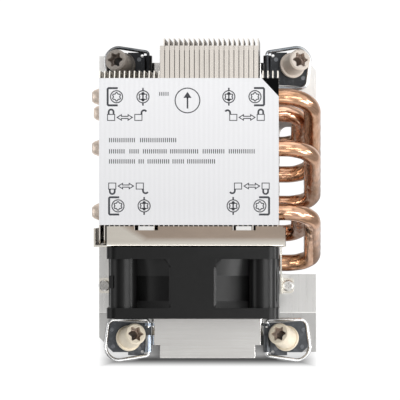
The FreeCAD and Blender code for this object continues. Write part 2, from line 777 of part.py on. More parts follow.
# ---- corner fixings ----------------------------------------------------------
def clip_plate(sx, sy):
    """Black spring-steel plate that traps a nut and rolls up into the wire's hinge."""
    tail_x = hinge_x + clip_tail_w
    outline = [(hinge_x, clip_y[0] + clip_slope), (clip_out_x - clip_corner, clip_y[0]),
               (clip_out_x, clip_y[0] + clip_corner), (clip_out_x, clip_chamfer[1]),
               (clip_chamfer[0], clip_step_y), (clip_step_x, clip_step_y),
               (clip_step_x, clip_y[1]), (tail_x, clip_y[1]),
               (tail_x, barrel_y[1]), (hinge_x, barrel_y[1])]
    plate = prism(mirrored(outline, sx, sy), wing_top, wing_top + clip_t)
    a = V(sx * hinge_x, sy * barrel_y[0], hinge_z)
    b = V(sx * hinge_x, sy * barrel_y[1], hinge_z)
    cuts = [rod(wire_r + running_gap, a, b)]
    w0, w1 = sorted((sy * window_y[0], sy * window_y[1]))
    cuts.append(box(sx * hinge_x - window_half, sx * hinge_x + window_half, w0, w1,
                    wing_top + clip_t, hinge_z + window_half))
    low = wing_top
    cuts.append(rod(nut_trap_r, V(sx * nut_x, sy * nut_y, low),
                    V(sx * nut_x, sy * nut_y, low + clip_t)))
    hx, hy, hr = sight_hole
    cuts.append(rod(hr, V(sx * hx, sy * hy, low), V(sx * hx, sy * hy, low + clip_t)))
    for rx, ry in rivet_spots:
        cuts.append(rod(rivet_r, V(sx * rx, sy * ry, low),
                        V(sx * rx, sy * ry, low + clip_t)))
    return fused([plate, rod(barrel_r, a, b)]).cut(cuts).removeSplitter()


def clip_rivets():
    """Small rivets that hold the four clip plates on the base's wings."""
    rivets = []
    for sx, sy in corners.values():
        for rx, ry in rivet_spots:
            seat = V(sx * rx, sy * ry, wing_top + clip_t)
            shank = rod(rivet_r, seat - Z_AXIS * rivet_len, seat)
            rivets.append(fused([shank, rod(rivet_head_r, seat,
                                            seat + Z_AXIS * rivet_head_h)]))
    return Part.makeCompound(rivets)


def wire_bail(sx, sy):
    """Round wire loop that hinges in the clip plate and locks round the nut."""
    path = rounded_path([(V(sx * x, sy * y, hinge_z), r) for x, y, r in wire_path])
    return swept_round(path, wire_r)


def socket_cutter():
    """Six-lobe socket: tip arcs and hollow arcs, each tangent to the next."""
    tip_c = socket_tip_d / 2 - socket_lobe_r
    flat_r = socket_flat_d / 2
    reach = tip_c * math.cos(math.radians(30))
    spare = socket_lobe_r ** 2 - tip_c ** 2 - flat_r ** 2 + 2 * flat_r * reach
    hollow_r = spare / (2 * (flat_r - reach - socket_lobe_r))
    hollow_c = flat_r + hollow_r

    def at(radius, degrees):
        a = math.radians(degrees)
        return V(radius * math.cos(a), radius * math.sin(a), 0)

    def touch(tip_angle, hollow_angle):
        a, b = at(tip_c, tip_angle), at(hollow_c, hollow_angle)
        return a + (b - a).normalize() * socket_lobe_r

    edges = []
    for i in range(6):
        a = i * 60
        edges.append(Part.Arc(touch(a, a - 30), at(socket_tip_d / 2, a),
                              touch(a, a + 30)).toShape())
        edges.append(Part.Arc(touch(a, a + 30), at(flat_r, a + 30),
                              touch(a + 60, a + 30)).toShape())
    face = Part.Face(Part.Wire(edges))
    face.translate(Z_AXIS * (nut_top_z - socket_depth))
    return face.extrude(Z_AXIS * socket_depth)


def nut(name):
    """Flanged plastic nut with a six-lobe socket, trapped by its lip, leaning."""
    sx, sy = corners[name]
    lip_low = nut_lip_z - nut_lip_t
    profile = [(0, lip_low), (nut_lip_r, lip_low), (nut_lip_r, nut_lip_z),
               (nut_spigot_r, nut_lip_z), (nut_spigot_r, nut_flange_z),
               (nut_flange_r, nut_flange_z),
               (nut_flange_r, nut_flange_z + nut_flange_t),
               (nut_body_r, nut_flange_z + nut_flange_t),
               (nut_body_r, nut_top_z - nut_edge), (nut_body_r - nut_edge, nut_top_z),
               (0, nut_top_z)]
    ring = [V(r, 0, z) for r, z in profile]
    body = Part.Face(Part.makePolygon(ring + ring[:1])).revolve(V(0, 0, 0), Z_AXIS, 360)
    bore = rod(nut_thread_r, V(0, 0, lip_low), V(0, 0, nut_top_z))
    body = body.cut([bore, socket_cutter()]).removeSplitter()
    body.Placement = FreeCAD.Placement(nut_seat(sx, sy),
                                       FreeCAD.Rotation(Z_AXIS, nut_direction(name)))
    return body


def nut_seat(sx, sy):
    """Point in the clip plate about which a nut leans."""
    return V(sx * nut_x, sy * nut_y, wing_top + clip_t / 2)


def nut_direction(name):
    """Unit vector up a leaning nut's axis."""
    dx, dy = nut_lean[name]
    return V(dx, dy, math.sqrt(nut_top_z ** 2 - dx * dx - dy * dy)).normalize()


# ---- assembly ----------------------------------------------------------------
def build():
    """Every piece by its node name."""
    left, middle, right = fin_count
    pieces = {
        "base_plate": base_plate(),
        "base_spine": base_spine(),
        "cold_plate": cold_plate(),
        "fins_left": fin_stack(0, left),
        "fins_center": fin_stack(left, middle),
        "fins_right": fin_stack(left + middle, right),
        "top_label": top_label(),
        "fan_frame": fan_frame(),
        "fan_rotor": fan_rotor(),
        "fan_shaft": fan_shaft(),
        "fan_bearings": fan_bearings(),
        "fan_magnet": fan_magnet(),
        "fan_stator": fan_stator(),
        "fan_circuit_board": fan_circuit_board(),
        "fan_screws": fan_screws(),
        "fan_shroud": fan_shroud(),
        "shroud_screws": shroud_screws(),
        "clip_rivets": clip_rivets(),
    }
    for number, row in enumerate(pipe_table, start=1):
        pieces[f"heat_pipe_{number}"] = heat_pipe(*row)
    for name, (sx, sy) in corners.items():
        pieces[f"clip_plate_{name}"] = clip_plate(sx, sy)
        pieces[f"wire_bail_{name}"] = wire_bail(sx, sy)
        pieces[f"nut_{name}"] = nut(name)
    return pieces


os.makedirs("parts", exist_ok=True)
for node, shape in build().items():
    shape.exportStep(f"parts/{node}.step")
    print(f"{node}: {len(shape.Solids)} solids, {shape.Volume:.1f} mm3, valid {shape.isValid()}")
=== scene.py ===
"""Server processor heatsink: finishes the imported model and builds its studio.

Run as a script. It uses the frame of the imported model: +Z up from the contact face, -Y the
fan side, +X the side of the pipe bends. Lengths are in metres where nothing else is said.
"""
import functools
import math

import bmesh
import bpy
import numpy as np
from mathutils import Matrix, Vector


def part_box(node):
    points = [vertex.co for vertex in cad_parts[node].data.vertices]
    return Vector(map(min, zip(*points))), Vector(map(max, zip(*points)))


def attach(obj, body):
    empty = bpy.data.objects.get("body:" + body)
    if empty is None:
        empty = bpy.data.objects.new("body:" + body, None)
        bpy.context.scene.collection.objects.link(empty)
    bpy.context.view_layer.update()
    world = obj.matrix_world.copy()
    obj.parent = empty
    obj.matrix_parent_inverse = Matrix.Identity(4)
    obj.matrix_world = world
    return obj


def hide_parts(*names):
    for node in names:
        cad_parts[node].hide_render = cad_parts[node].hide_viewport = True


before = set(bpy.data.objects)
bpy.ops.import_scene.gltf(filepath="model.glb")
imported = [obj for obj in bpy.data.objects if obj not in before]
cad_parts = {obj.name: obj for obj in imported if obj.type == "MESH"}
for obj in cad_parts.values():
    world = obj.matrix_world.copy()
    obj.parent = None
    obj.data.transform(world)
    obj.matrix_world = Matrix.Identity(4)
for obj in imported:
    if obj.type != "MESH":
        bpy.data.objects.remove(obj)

bl_info = {
    "name": "Server heatsink",
    "version": (1, 0, 0),
    "blender": (4, 5, 0),
    "location": "3D View > Sidebar > Heatsink",
    "description": "Finishes the packed server heatsink and builds its studio",
    "category": "Object",
}

MM = 0.001
X, Y, Z = range(3)
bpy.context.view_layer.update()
# in millimetres: distance between two fins, a point half a pitch beside a seam between
# them, and x and z of the fan's axis
FIN_PITCH = 63.75 / 37
FIN_SEAM_X = -5.4 + 0.26 + 0.5 * FIN_PITCH
FAN_AXIS = (-4.05, 35.4)


# ---- numbers and colours ----
def linear(code):
    """sRGB hex colour as linear red, green, blue: c/12.92 near black, a 2.4 power above."""
    srgb = np.array([int(code[i:i + 2], 16) for i in (1, 3, 5)]) / 255
    light = np.where(srgb <= 0.04045, srgb / 12.92, ((srgb + 0.055) / 1.055) ** 2.4)
    return tuple(light.tolist())


def opaque(rgb):
    """Linear colour with full alpha, as colour sockets take it."""
    return (*rgb, 1.0)


def times(rgb, k):
    """Colour made k times as bright."""
    return tuple(min(1.0, c * k) for c in rgb)


def smooth(t):
    """Smoothstep: 3t^2 - 2t^3 between 0 and 1."""
    t = np.clip(t, 0, 1)
    return t * t * (3 - 2 * t)


def unit(v):
    """Vectors made one long."""
    return v / np.linalg.norm(v, axis=-1, keepdims=True)


def circle(count):
    """Angles of points on a circle, and the points (cos t, sin t)."""
    turn = np.arange(count) / count * 2 * math.pi
    return turn, np.column_stack([np.cos(turn), np.sin(turn)])


# ---- settings ----
def colour(name, code, description):
    """Colour property with its default as an sRGB hex value."""
    return bpy.props.FloatVectorProperty(
        name=name, description=description, default=linear(code), size=3,
        subtype="COLOR", min=0, max=1)


def number(name, default, description, **more):
    """Number property that isn't negative."""
    return bpy.props.FloatProperty(
        name=name, description=description, default=default, **{"min": 0, **more})


def length(name, mm, description):
    """Length property with its default in millimetres."""
    return number(name, mm * MM, description, unit="LENGTH", precision=5)


def watts(name, default, lamp):
    """Power property of a lamp."""
    return number(name, default, "Power of " + lamp, unit="POWER")


def group(kind, name, description):
    """Group of settings inside another."""
    return bpy.props.PointerProperty(type=kind, name=name, description=description)


class PipeSettings(bpy.types.PropertyGroup):
    """Heat pipes."""
    bright: colour("Bright copper", "#DFB499", "Copper where the tube was rubbed clean")
    dull: colour("Dull copper", "#B18767", "Copper under a thin layer of oxide")
    # the pale tip colour is a painted highlight
    tip: colour("Pipe tips", "#FBEBDD", "Copper where the tube was sealed")
    ring_step: length("Ring spacing", 0.8, "Distance between two sections along a pipe")
    dent: length("Unevenness", 0.05, "How far the drawn tube strays from true")


class AluminiumSettings(bpy.types.PropertyGroup):
    """Base, spine and fins."""
    spine: colour("Spine", "#DAD8D5", "Brushed aluminium bar along the middle")
    base: colour("Base", "#C6C5C3", "Milled aluminium of the base and its wings")
    fins: colour("Fins", "#E2DBD3", "Rolled aluminium of the fins")
    edge: length("Edge break", 0.12, "Width of the broken edges of the machined pieces")


class LabelSettings(bpy.types.PropertyGroup):
    """Film label and its print."""
    film: colour("Film", "#F5F5F7", "White film")
    ink: colour("Ink", "#3E3F44", "Dark print")
    corner: colour("Corner mark", "#040404", "Solid corner")
    stroke: length("Stroke", 0.36, "Width of the printed lines")
    ink_height: length("Ink height", 0.02, "Thickness of the print on the film")


class FanSettings(bpy.types.PropertyGroup):
    """Fan."""
    plastic: colour("Plastic", "#141414", "Moulded black plastic")
    edge: length("Edge radius", 0.3, "Rounding of the moulded edges")


class FixingSettings(bpy.types.PropertyGroup):
    """Shroud, clips, wires, nuts and screws."""
    shroud: colour("Shroud", "#A69688", "Nickel-plated sheet, tarnished")
    # this pale tone is a painted highlight at the front bend, and paler metal at the left
    # end and feet
    bright_shroud: colour("Bright shroud", "#E4DFD5", "Nickel where it is polished")
    nut: colour("Nut", "#EFE3CD", "Moulded ivory plastic")
    clip: colour("Clip", "#4F5154", "Blackened spring steel")
    # greyer, darker nylon of the rear nuts: painted shade
    rear_nut_painted_shade: colour("Rear nuts", "#DAD0C6", "Moulded nylon greyed by warm air")
    # colour of the painted shade in the nuts' sockets
    socket_painted_shade: colour("Socket painted shade", "#BDAA9E", "Grease in the nuts' sockets")
    # bluish tone on the front-left hinge barrel: painted reflection
    barrel: colour("Barrel painted reflection", "#98A1AD", "Hinge barrel that is rubbed bright")
    wire: colour("Wire", "#ECECEC", "Bright drawn steel wire")
    # the dark tone of the rear wires is painted shade
    wire_painted_shade: colour("Dark wire", "#4C5054", "Wire under its dark film")
    wire_step: length("Wire section spacing", 0.25, "Distance between two wire sections")
    wire_swell: length("Wire swell", 0.07, "How much thicker the wire is outside the hinge")
    edge: length("Edge radius", 0.08, "Rounding of the small pieces' edges")


class StageSettings(bpy.types.PropertyGroup):
    """Floor, lamps and camera."""
    floor: colour("Floor", "#FFFFFF", "Plain pale floor")
    softbox_watts: watts("Softboxes", 3.7, "each of the front and back softboxes")
    strip_watts: watts("Side strip", 4.0,
                       "the strip lamp over the side with the pipe bends")
    low_watts: watts("Low strip", 5.0, "the strip lamp low beside the pipe bends")
    ambient: number("Ambient", 0.40, "Strength of the even light all round")
    # below 1 this deepens the floor's shade to the camera: painted shadow
    floor_gain: number(
        "Floor gain", 0.5,
        "How bright the shaded floor looks to the camera, 1 as plain paper")
    table_glow: number(
        "Table glow", 0.92,
        "Share of the floor's light that comes from below, as on a light table", max=1)
    floor_gloss: number(
        "Floor in gloss", 0.42, "Brightness of the lit floor as shiny pieces mirror it")
    camera_height: number(
        "Camera height", 1.8983, "Camera above the floor", min=0.1, unit="LENGTH")
    focal: number("Focal length", 474.3, "Focal length for a 36 mm sensor", min=1,
                  subtype="DISTANCE_CAMERA")


class HeatsinkSettings(bpy.types.PropertyGroup):
    """All settings of the heatsink."""
    pipes: group(PipeSettings, "Heat pipes", "Heat pipes")
    aluminium: group(AluminiumSettings, "Aluminium", "Base, spine and fins")
    label: group(LabelSettings, "Label", "Film label and its print")
    fan: group(FanSettings, "Fan", "Fan")
    fixings: group(FixingSettings, "Fixings", "Shroud, clips, wires and nuts")
    stage: group(StageSettings, "Stage", "Floor, lamps and camera")


# ---- meshes ----
def linked(name, data):
    """New object in the scene."""
    obj = bpy.data.objects.new(name, data)
    bpy.context.scene.collection.objects.link(obj)
    return obj


def shade_smooth(mesh, on=True):
    """Every face of a mesh shades smooth, or flat."""
    mesh.polygons.foreach_set("use_smooth", np.full(len(mesh.polygons), on))


def make_mesh(name, points, faces):
    """New object in the scene from arrays of points and faces, smooth, facing outwards."""
    mesh = bpy.data.meshes.new(name)
    mesh.from_pydata(points.tolist(), [], faces)
    mesh.update()
    shade_smooth(mesh)
    return linked(name, mesh)


def point_values(mesh, name, values):
    """Attribute with one number or one vector at each point."""
    kind, field = (("FLOAT", "value") if values.ndim == 1 else ("FLOAT_VECTOR", "vector"))
    layer = mesh.attributes.new(name, kind, "POINT")
    layer.data.foreach_set(field, values.astype(np.float32).ravel())


def ring_quads(n, m):
    """Faces between n closed rings of m points each, point j of ring i being i m + j."""
    i, j = np.meshgrid(np.arange(n - 1), np.arange(m), indexing="ij")
    k = (j + 1) % m
    quads = np.stack([i * m + j, (i + 1) * m + j, (i + 1) * m + k, i * m + k], -1)
    return quads.reshape(-1, 4).tolist()


def tube_mesh(name, rings, straight):
    """Closed tube over rings[i, j], point j of section i: quads between neighbours, and
    a fan to the middle of each end. straight holds the same points as if the tube ran
    straight, in millimetres, for patterns that follow it."""
    n, m = rings.shape[:2]
    around = np.arange(m)
    after = (around + 1) % m
    first = np.stack([np.full(m, n * m), around, after], -1)
    last = np.stack([np.full(m, n * m + 1), (n - 1) * m + after, (n - 1) * m + around], -1)
    points, values = (np.vstack([p.reshape(-1, 3), p[0].mean(0), p[-1].mean(0)])
                      for p in (rings, straight))
    obj = make_mesh(name, points, ring_quads(n, m) + first.tolist() + last.tolist())
    point_values(obj.data, "straight", values)
    return obj


def joined_slabs(name, slabs, z, thickness):
    """Thin printed shapes as one mesh. Each slab is (outline points, faces, border loops)
    in the XY plane; its top lies thickness above its underside, joined round the border."""
    points, faces, count = [], [], 0
    for outline, tops, borders in slabs:
        n = len(outline)
        for level in (z, z + thickness):
            points.append(np.column_stack([outline, np.full(n, level)]))
        for face in tops:
            faces.append([count + n + v for v in face])
            faces.append([count + v for v in face[::-1]])
        for a, b in borders:
            faces.append([count + a, count + b, count + n + b, count + n + a])
        count += 2 * n
    obj = make_mesh(name, np.vstack(points), faces)
    shade_smooth(obj.data, False)
    return obj


def rounded_route(corners, radii, step):
    """Points along straight runs with an arc at each inner corner, evenly spaced.
    An arc is centre + cos(t) (start - centre) + sin(t) r (direction of travel)."""
    pts = [corners[0]]
    for before, corner, after, r in zip(corners, corners[1:], corners[2:], radii):
        u, v = unit(before - corner), unit(after - corner)
        half = math.acos(float(np.clip(u @ v, -1, 1))) / 2
        start = corner + u * r / math.tan(half)
        centre = corner + unit(u + v) * r / math.sin(half)
        t = np.linspace(0, math.pi - 2 * half, 24)[:, None]
        pts.append(centre + np.cos(t) * (start - centre) - np.sin(t) * r * u)
    pts.append(corners[-1])
    route = np.vstack(pts)
    run = np.concatenate([[0], np.cumsum(np.linalg.norm(np.diff(route, axis=0), axis=1))])
    at = np.linspace(0, run[-1], max(2, int(run[-1] / step)))
    return np.column_stack([np.interp(at, run, route[:, k]) for k in range(3)]), at


def sections_along(route, across, up_size, across_size):
    """Sections carried along a route: point = centre + a W + b N, where W is the across
    direction square to the travel T, and N = T x W. up_size and across_size hold a and b
    of each point of each section."""
    travel = unit(np.gradient(route, axis=0))
    wide = unit(across - (travel @ across)[:, None] * travel)
    normal = np.cross(travel, wide)
    return (route[:, None] + across_size[..., None] * wide[:, None]
            + up_size[..., None] * normal[:, None])


def unrolled(shape, run, offset=0):
    """Points of the sections as if they stood along one straight line, in millimetres."""
    along = (run / MM)[:, None, None] + offset
    return np.concatenate([shape / MM, np.broadcast_to(along, (*shape.shape[:2], 1))], -1)


def seat(obj, slot, material, *nodes, body="heatsink"):
    """The piece rides on a body, takes the material and stands for CAD nodes. slot is not
    used.
    """
    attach(obj, body)
    if nodes:
        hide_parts(*nodes)
    obj.data.materials.append(material)
    return obj


SAME_POINT = 2e-6
FLAT_ANGLE = math.radians(0.4)
EDGE_ANGLE = 38.0   # edges sharper than this are broken, in degrees


def edge_broken(node, slot, width, material, body="heatsink", crease=EDGE_ANGLE,
                weld=False):
    """Copy of a CAD node with flat areas merged and every sharp edge broken by a narrow
    rounded bevel. Faces that meet at more than the crease shade apart. weld joins points
    that the bevel leaves on one spot."""
    bm = bmesh.new()
    bm.from_mesh(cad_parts[node].data)
    bmesh.ops.remove_doubles(bm, verts=bm.verts, dist=SAME_POINT)
    bmesh.ops.dissolve_limit(bm, angle_limit=FLAT_ANGLE, verts=bm.verts, edges=bm.edges)
    mesh = bpy.data.meshes.new(node + "_finished")
    bm.to_mesh(mesh)
    bm.free()
    if "custom_normal" in mesh.attributes:
        mesh.attributes.remove(mesh.attributes["custom_normal"])
    shade_smooth(mesh)
    mesh.set_sharp_from_angle(angle=math.radians(crease))
    obj = linked(node + "_finished", mesh)
    bevel = obj.modifiers.new("Broken edges", "BEVEL")
    bevel.limit_method = "ANGLE"
    bevel.angle_limit = math.radians(EDGE_ANGLE)
    bevel.width = width
    bevel.segments = 2
    bevel.harden_normals = True
    if weld:
        obj.modifiers.new("Joined points", "WELD").merge_threshold = SAME_POINT
    return seat(obj, slot, material, node, body=body)


def dress(material, *nodes):
    """CAD nodes keep their shape and take a material."""
    for node in nodes:
        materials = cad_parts[node].data.materials
        materials.clear()
        materials.append(material)


# ---- node trees ----
class Nodes:
    """Node tree of a material or a world. Each method adds nodes and gives an output."""

    def __init__(self, owner):
        owner.use_nodes = True
        self.tree = owner.node_tree
        self.tree.nodes.clear()

    def add(self, kind, inputs=None, **settings):
        """One shader node with its settings and its inputs, values or links."""
        made = self.tree.nodes.new("ShaderNode" + kind)
        for key, value in settings.items():
            setattr(made, key, value)
        for key, value in (inputs or {}).items():
            if isinstance(value, bpy.types.NodeSocket):
                self.tree.links.new(value, made.inputs[key])
            else:
                made.inputs[key].default_value = value
        return made

    def math(self, operation, *values):
        """One step of arithmetic."""
        return self.add("Math", dict(enumerate(values)), operation=operation).outputs[0]

    def folded(self, operation, *values):
        """The same step over many values, such as a product."""
        return functools.reduce(functools.partial(self.math, operation), values)

    def ranged(self, value, low, high, to_low=0, to_high=1, **settings):
        """Value moved from one range to another, held at its ends."""
        return self.add("MapRange", {
            "Value": value, "From Min": low, "From Max": high, "To Min": to_low,
            "To Max": to_high}, **settings).outputs[0]

    def near(self, value, middle, half, soft):
        """1 within half of the middle of a range, falling to 0 over the next stretch."""
        away = self.math("ABSOLUTE", self.math("SUBTRACT", value, middle))
        return self.ranged(away, half, half + soft, 1, 0)

    def mixed(self, factor, a, b):
        """Colour between a and b."""
        return self.add("Mix", {0: factor, 6: a, 7: b}, data_type="RGBA").outputs[2]

    def between(self, factor, a, b):
        """Number between a and b."""
        return self.add("Mix", {0: factor, 2: a, 3: b}, data_type="FLOAT").outputs[0]

    def millimetres(self, stretch=(1, 1, 1), attribute=None):
        """Object coordinates, or an attribute, in millimetres divided by a stretch."""
        if attribute:
            source = self.add("Attribute", attribute_name=attribute).outputs["Vector"]
            scale = tuple(1 / s for s in stretch)
        else:
            source = self.add("TexCoord").outputs["Object"]
            scale = tuple(1 / MM / s for s in stretch)
        return self.add("Mapping", {"Vector": source, "Scale": scale}).outputs[0]

    def place(self):
        """X, Y and Z of the point in the heatsink's frame, in millimetres."""
        return self.add("SeparateXYZ", {"Vector": self.millimetres()}).outputs

    def inside(self, *spans):
        """Product of ranges of the place. A span is an axis and what ranged takes."""
        place = self.place()
        parts = (self.ranged(place[axis], *span) for axis, *span in spans)
        return self.folded("MULTIPLY", *parts)

    def grain(self, stretch, detail=4.0, roughness=0.6, attribute=None):
        """Noise, as coarse along X, Y and Z as the stretch says in millimetres."""
        if not isinstance(stretch, tuple):
            stretch = (stretch,) * 3
        vector = self.millimetres(stretch, attribute)
        return self.add("TexNoise", {"Vector": vector, "Scale": 1.0, "Detail": detail,
                                     "Roughness": roughness}).outputs[0]


class Skin(Nodes):
    """Material with one Principled shader. Its tone starts at a colour times a gain and is
    built up tint by tint. sockets hold even values; without an IOR it is a metal."""

    def __init__(self, name, rgb, gain=1, **sockets):
        self.material = bpy.data.materials.new(name)
        super().__init__(self.material)
        even = {key.replace("_", " "): value for key, value in sockets.items()}
        even.setdefault("Metallic", 0.0 if "IOR" in even else 1.0)
        self.shader = self.add("BsdfPrincipled", even)
        self.add("OutputMaterial", {"Surface": self.shader.outputs[0]})
        self.rgb = rgb
        self.tone = opaque(times(rgb, gain))

    def tint(self, to, factor, *span):
        """The tone goes towards a colour, or a gain on the material's colour."""
        if span:
            factor = self.ranged(factor, *span)
        if isinstance(to, (int, float)):
            to = times(self.rgb, to)
        self.tone = self.mixed(factor, self.tone, opaque(to))

    def relief(self, height, depth, **inputs):
        """Normal bumped by a height; depth in millimetres."""
        return self.add("Bump", {"Height": height, "Distance": depth * MM, **inputs}
                        ).outputs[0]

    def finish(self, rough=None, height=None, depth=0, **inputs):
        """Tone, roughness and relief go to the shader. Gives the material."""
        ends = {"Base Color": self.tone, "Roughness": rough}
        if height is not None:
            ends["Normal"] = self.relief(height, depth, **inputs)
        for key, value in ends.items():
            if value is not None:
                self.tree.links.new(value, self.shader.inputs[key])
        return self.material


# ---- materials ----
# Marks on the milled base: gain, and where each lies in millimetres. It is duller in front
# of the burr. Painted light makes it brighter behind the pipes and on the left, and a
# painted shadow darkens it beside the cut-out under the rear pipes.
BASE_ZONES_AND_PAINTED_LIGHT = (
    (0.74, (Y, -38.9, -39.1), (X, -10, 10, 0.1, 1)),
    # the next three zones are painted light
    (1.32, (Y, 24, 40), (X, 22, 26)),
    (1.45, (Y, -38.9, -38.7), (X, -28, -32)),
    (1.75, (Y, 38, 42), (X, -28, -32)),
    # painted shadow beside the cut-out under the rear pipes
    (0.3, (Y, 26, 27), (Y, 36, 31), (X, 20, 22), (X, 36.5, 33.5)),
)
BURR_Y, BURR_HALF = -39.0, 0.16


def brushed_aluminium(name, rgb, stretch, rough, zones_and_painted_light=False):
    """Machined aluminium: fine tool lines, a slow drift in tone, satin gloss. stretch is
    how long the lines run and how far apart they are. zones_and_painted_light adds the
    base's marks, with their painted light and painted shadow, and the burr's line."""
    m = Skin(name, rgb, 0.90)
    lines = m.grain(stretch, 5.0, 0.7)
    m.tint(1.08, lines, 0.3, 0.7)
    m.tint(0.94, m.grain(14, 2.0), 0.35, 0.65, 0, 0.5)
    if zones_and_painted_light:
        for gain, *spans in BASE_ZONES_AND_PAINTED_LIGHT:
            m.tint(gain, m.inside(*spans))
        m.tint(1.5, m.math("COMPARE", m.place()[Y], BURR_Y, BURR_HALF))
    return m.finish(m.ranged(lines, 0.25, 0.75, *rough), lines, 0.004)


def rolled_fin_sheet(name, rgb, seams):
    """Rolled aluminium strip: rolling lines along Y, faint oil stains, satin gloss. With
    seams, a painted shade darkens the gap beside each folded top; without, a painted
    highlight makes the fins brighter behind the film."""
    m = Skin(name, rgb, 0.93)
    lines = m.grain((0.3, 22, 0.5))
    stain = m.grain((6, 9, 9), 3.0)
    m.tint(1.06, lines, 0.3, 0.7)
    m.tint(0.9, stain, 0.45, 0.7, 0, 0.6)
    if seams:
        x, y, _ = m.place()
        turn = m.math("MULTIPLY", m.math("SUBTRACT", x, FIN_SEAM_X), 1 / FIN_PITCH)
        gap = m.near(m.math("WRAP", turn, 1.0, 0.0), 0.5, 0.05, 0.07)
        top = m.ranged(y, 53.4, 53.7, 0.8, 0)
        # painted shade in the gap beside each folded top
        m.tint(0.10, m.math("MULTIPLY", gap, top))
    else:
        # painted highlight on the fins that stand clear of the film
        m.tint(1.35, m.inside((Y, 43.7, 43.9)))
    return m.finish(m.ranged(stain, 0.3, 0.7, 0.20, 0.26), lines, 0.0012)


def drawn_copper(bright, dull, tip):
    """Drawn copper tube: bright metal with a drifting film of oxide, long draw marks,
    shallow dents from bending, and closed tips left of x = -36.4 mm, rougher and painted
    pale, a painted highlight. Patterns follow the straightened tube."""
    m = Skin("Drawn copper tube", bright)
    marks = m.grain((0.5, 0.5, 16), attribute="straight")
    oxide = m.grain((4, 4, 11), attribute="straight")
    dents = m.grain((2.4, 2.4, 6), 2.0, attribute="straight")
    tip_painted_highlight = m.inside((X, -36.4, -37.0))
    m.tint(dull, oxide, 0.32, 0.64)
    m.tint(times(dull, 0.72), marks, 0.5, 0.72, 0, 0.6)
    # painted highlight on the closed tips
    m.tint(tip, tip_painted_highlight)
    rough = m.between(tip_painted_highlight, m.ranged(oxide, 0.3, 0.7, 0.12, 0.26), 0.5)
    return m.finish(rough, marks, 0.012, Normal=m.relief(dents, 0.22))


def lapped_copper(bright, dull):
    """Lapped copper face: fine straight lines along X and a thin film of oxide."""
    m = Skin("Lapped copper plate", bright)
    lines = m.grain((24, 0.3, 0.3), 5.0, 0.7)
    m.tint(dull, m.grain(12, 3.0), 0.35, 0.7)
    return m.finish(m.ranged(lines, 0.3, 0.7, 0.2, 0.36), lines, 0.003)


def white_film(rgb):
    """Satin film over the fins: the folds under it show as faint stripes of painted shade
    over a matching bump, and a painted shade darkens it towards the fan."""
    m = Skin("White label film", rgb, 0.978, IOR=1.5, Roughness=0.42)
    turns = m.math("MULTIPLY", m.place()[X], 2 * math.pi / FIN_PITCH)
    stripes = m.ranged(m.math("SINE", turns), -1, 1)
    # the stripes in colour are painted shade of the folds under the film
    m.tint(1, stripes)
    m.tint(0.98, m.grain(18, 2.0), 0.35, 0.7)
    # painted shade towards the fan
    m.tint(0.87, m.inside((Y, 40, 0)))
    return m.finish(None, stripes, 0.015)


def printed_ink(name, rgb, gloss):
    """Screen-printed ink: matt, a little uneven in density."""
    m = Skin(name, rgb, IOR=1.5, Roughness=0.6, Specular_IOR_Level=gloss)
    m.tint(1.35, m.grain(0.25, 3.0), 0.35, 0.7)
    return m.finish()


def moulded_plastic(name, rgb, rough, mottle=0.12, grit=0.18, gloss=0.5, ramps=False):
    """Moulded plastic: fine grain, soft flow marks, even satin gloss. grit is the grain in
    millimetres. With ramps, the two ramps of the fan's duct are painted paler, a painted
    highlight."""
    m = Skin(name, rgb, 1 - mottle, IOR=1.49, Specular_IOR_Level=gloss)
    fine = m.grain(grit, 2.0)
    m.tint(1 + mottle, m.grain((3, 3, 9), 3.0), 0.3, 0.7)
    if ramps:
        x, y, z = m.place()
        ends = {0: m.add("CombineXYZ", {0: x, 1: z}).outputs[0], 1: (*FAN_AXIS, 0)}
        away = m.add("VectorMath", ends, operation="DISTANCE").outputs["Value"]
        rear, front = m.near(y, -22.1, 2.8, 0.4), m.near(y, -35.1, 1.1, 0.3)
        both = m.math("MAXIMUM", rear, front)
        beside = m.ranged(m.near(x, FAN_AXIS[0], 8.0, 0.1), 0, 1, 1, 0)
        duct = m.ranged(away, 31, 31.2, 1, 0)
        # painted highlight on the two ramps of the duct
        m.tint(3.2, m.folded("MULTIPLY", both, duct, beside))
    return m.finish(m.ranged(fine, 0.3, 0.7, *rough), fine, 0.006)


def plated_sheet(name, code, stretch, rough=(0.22, 0.34)):
    """Bright metal: rolling or drawing lines, light handling marks."""
    rgb = linear(code)
    m = Skin(name, rgb, 0.9)
    lines, marks = m.grain(stretch, 3.0), m.grain(5, 2.0)
    m.tint(1.06, lines, 0.3, 0.7)
    m.tint(0.82, marks, 0.5, 0.72, 0, 0.5)
    return m.finish(m.ranged(marks, 0.3, 0.7, *rough), lines, 0.003)


def nickel_sheet(rgb, bright):
    """Nickel-plated sheet: tarnished brown over the top, paler at its left end and round the
    feet, with a painted highlight at the front bend and on the two tabs."""
    m = Skin("Nickel-plated sheet", rgb)
    x, y, z = m.place()
    streaks = m.grain((40, 1.5, 1.5), 2.0)
    m.tint(1.25, m.grain((16, 6, 16), 2.0), 0.35, 0.65, 0, 0.5)
    left_end = m.ranged(m.math("MULTIPLY_ADD", y, 1.6, x), -42.5, -38.0, 0.78, 0)
    front_bend = m.ranged(y, -11.6, -13.8)
    feet = m.ranged(z, 20, 15)
    # paler at the left end and round the feet, painted highlight at the front bend
    m.tint(bright, m.folded("MAXIMUM", left_end, front_bend, feet))
    left, right = (m.near(x, middle, 2.6, 0.15) for middle in (-20.2, 13.8))
    tabs = m.math("MAXIMUM", left, right)
    # painted highlight on the two tabs
    m.tint((0.96, 0.95, 0.93), m.math("MULTIPLY", tabs, m.ranged(y, -9.25, -9.1)))
    return m.finish(m.ranged(streaks, 0.3, 0.7, 0.15, 0.2), streaks, 0.0006)


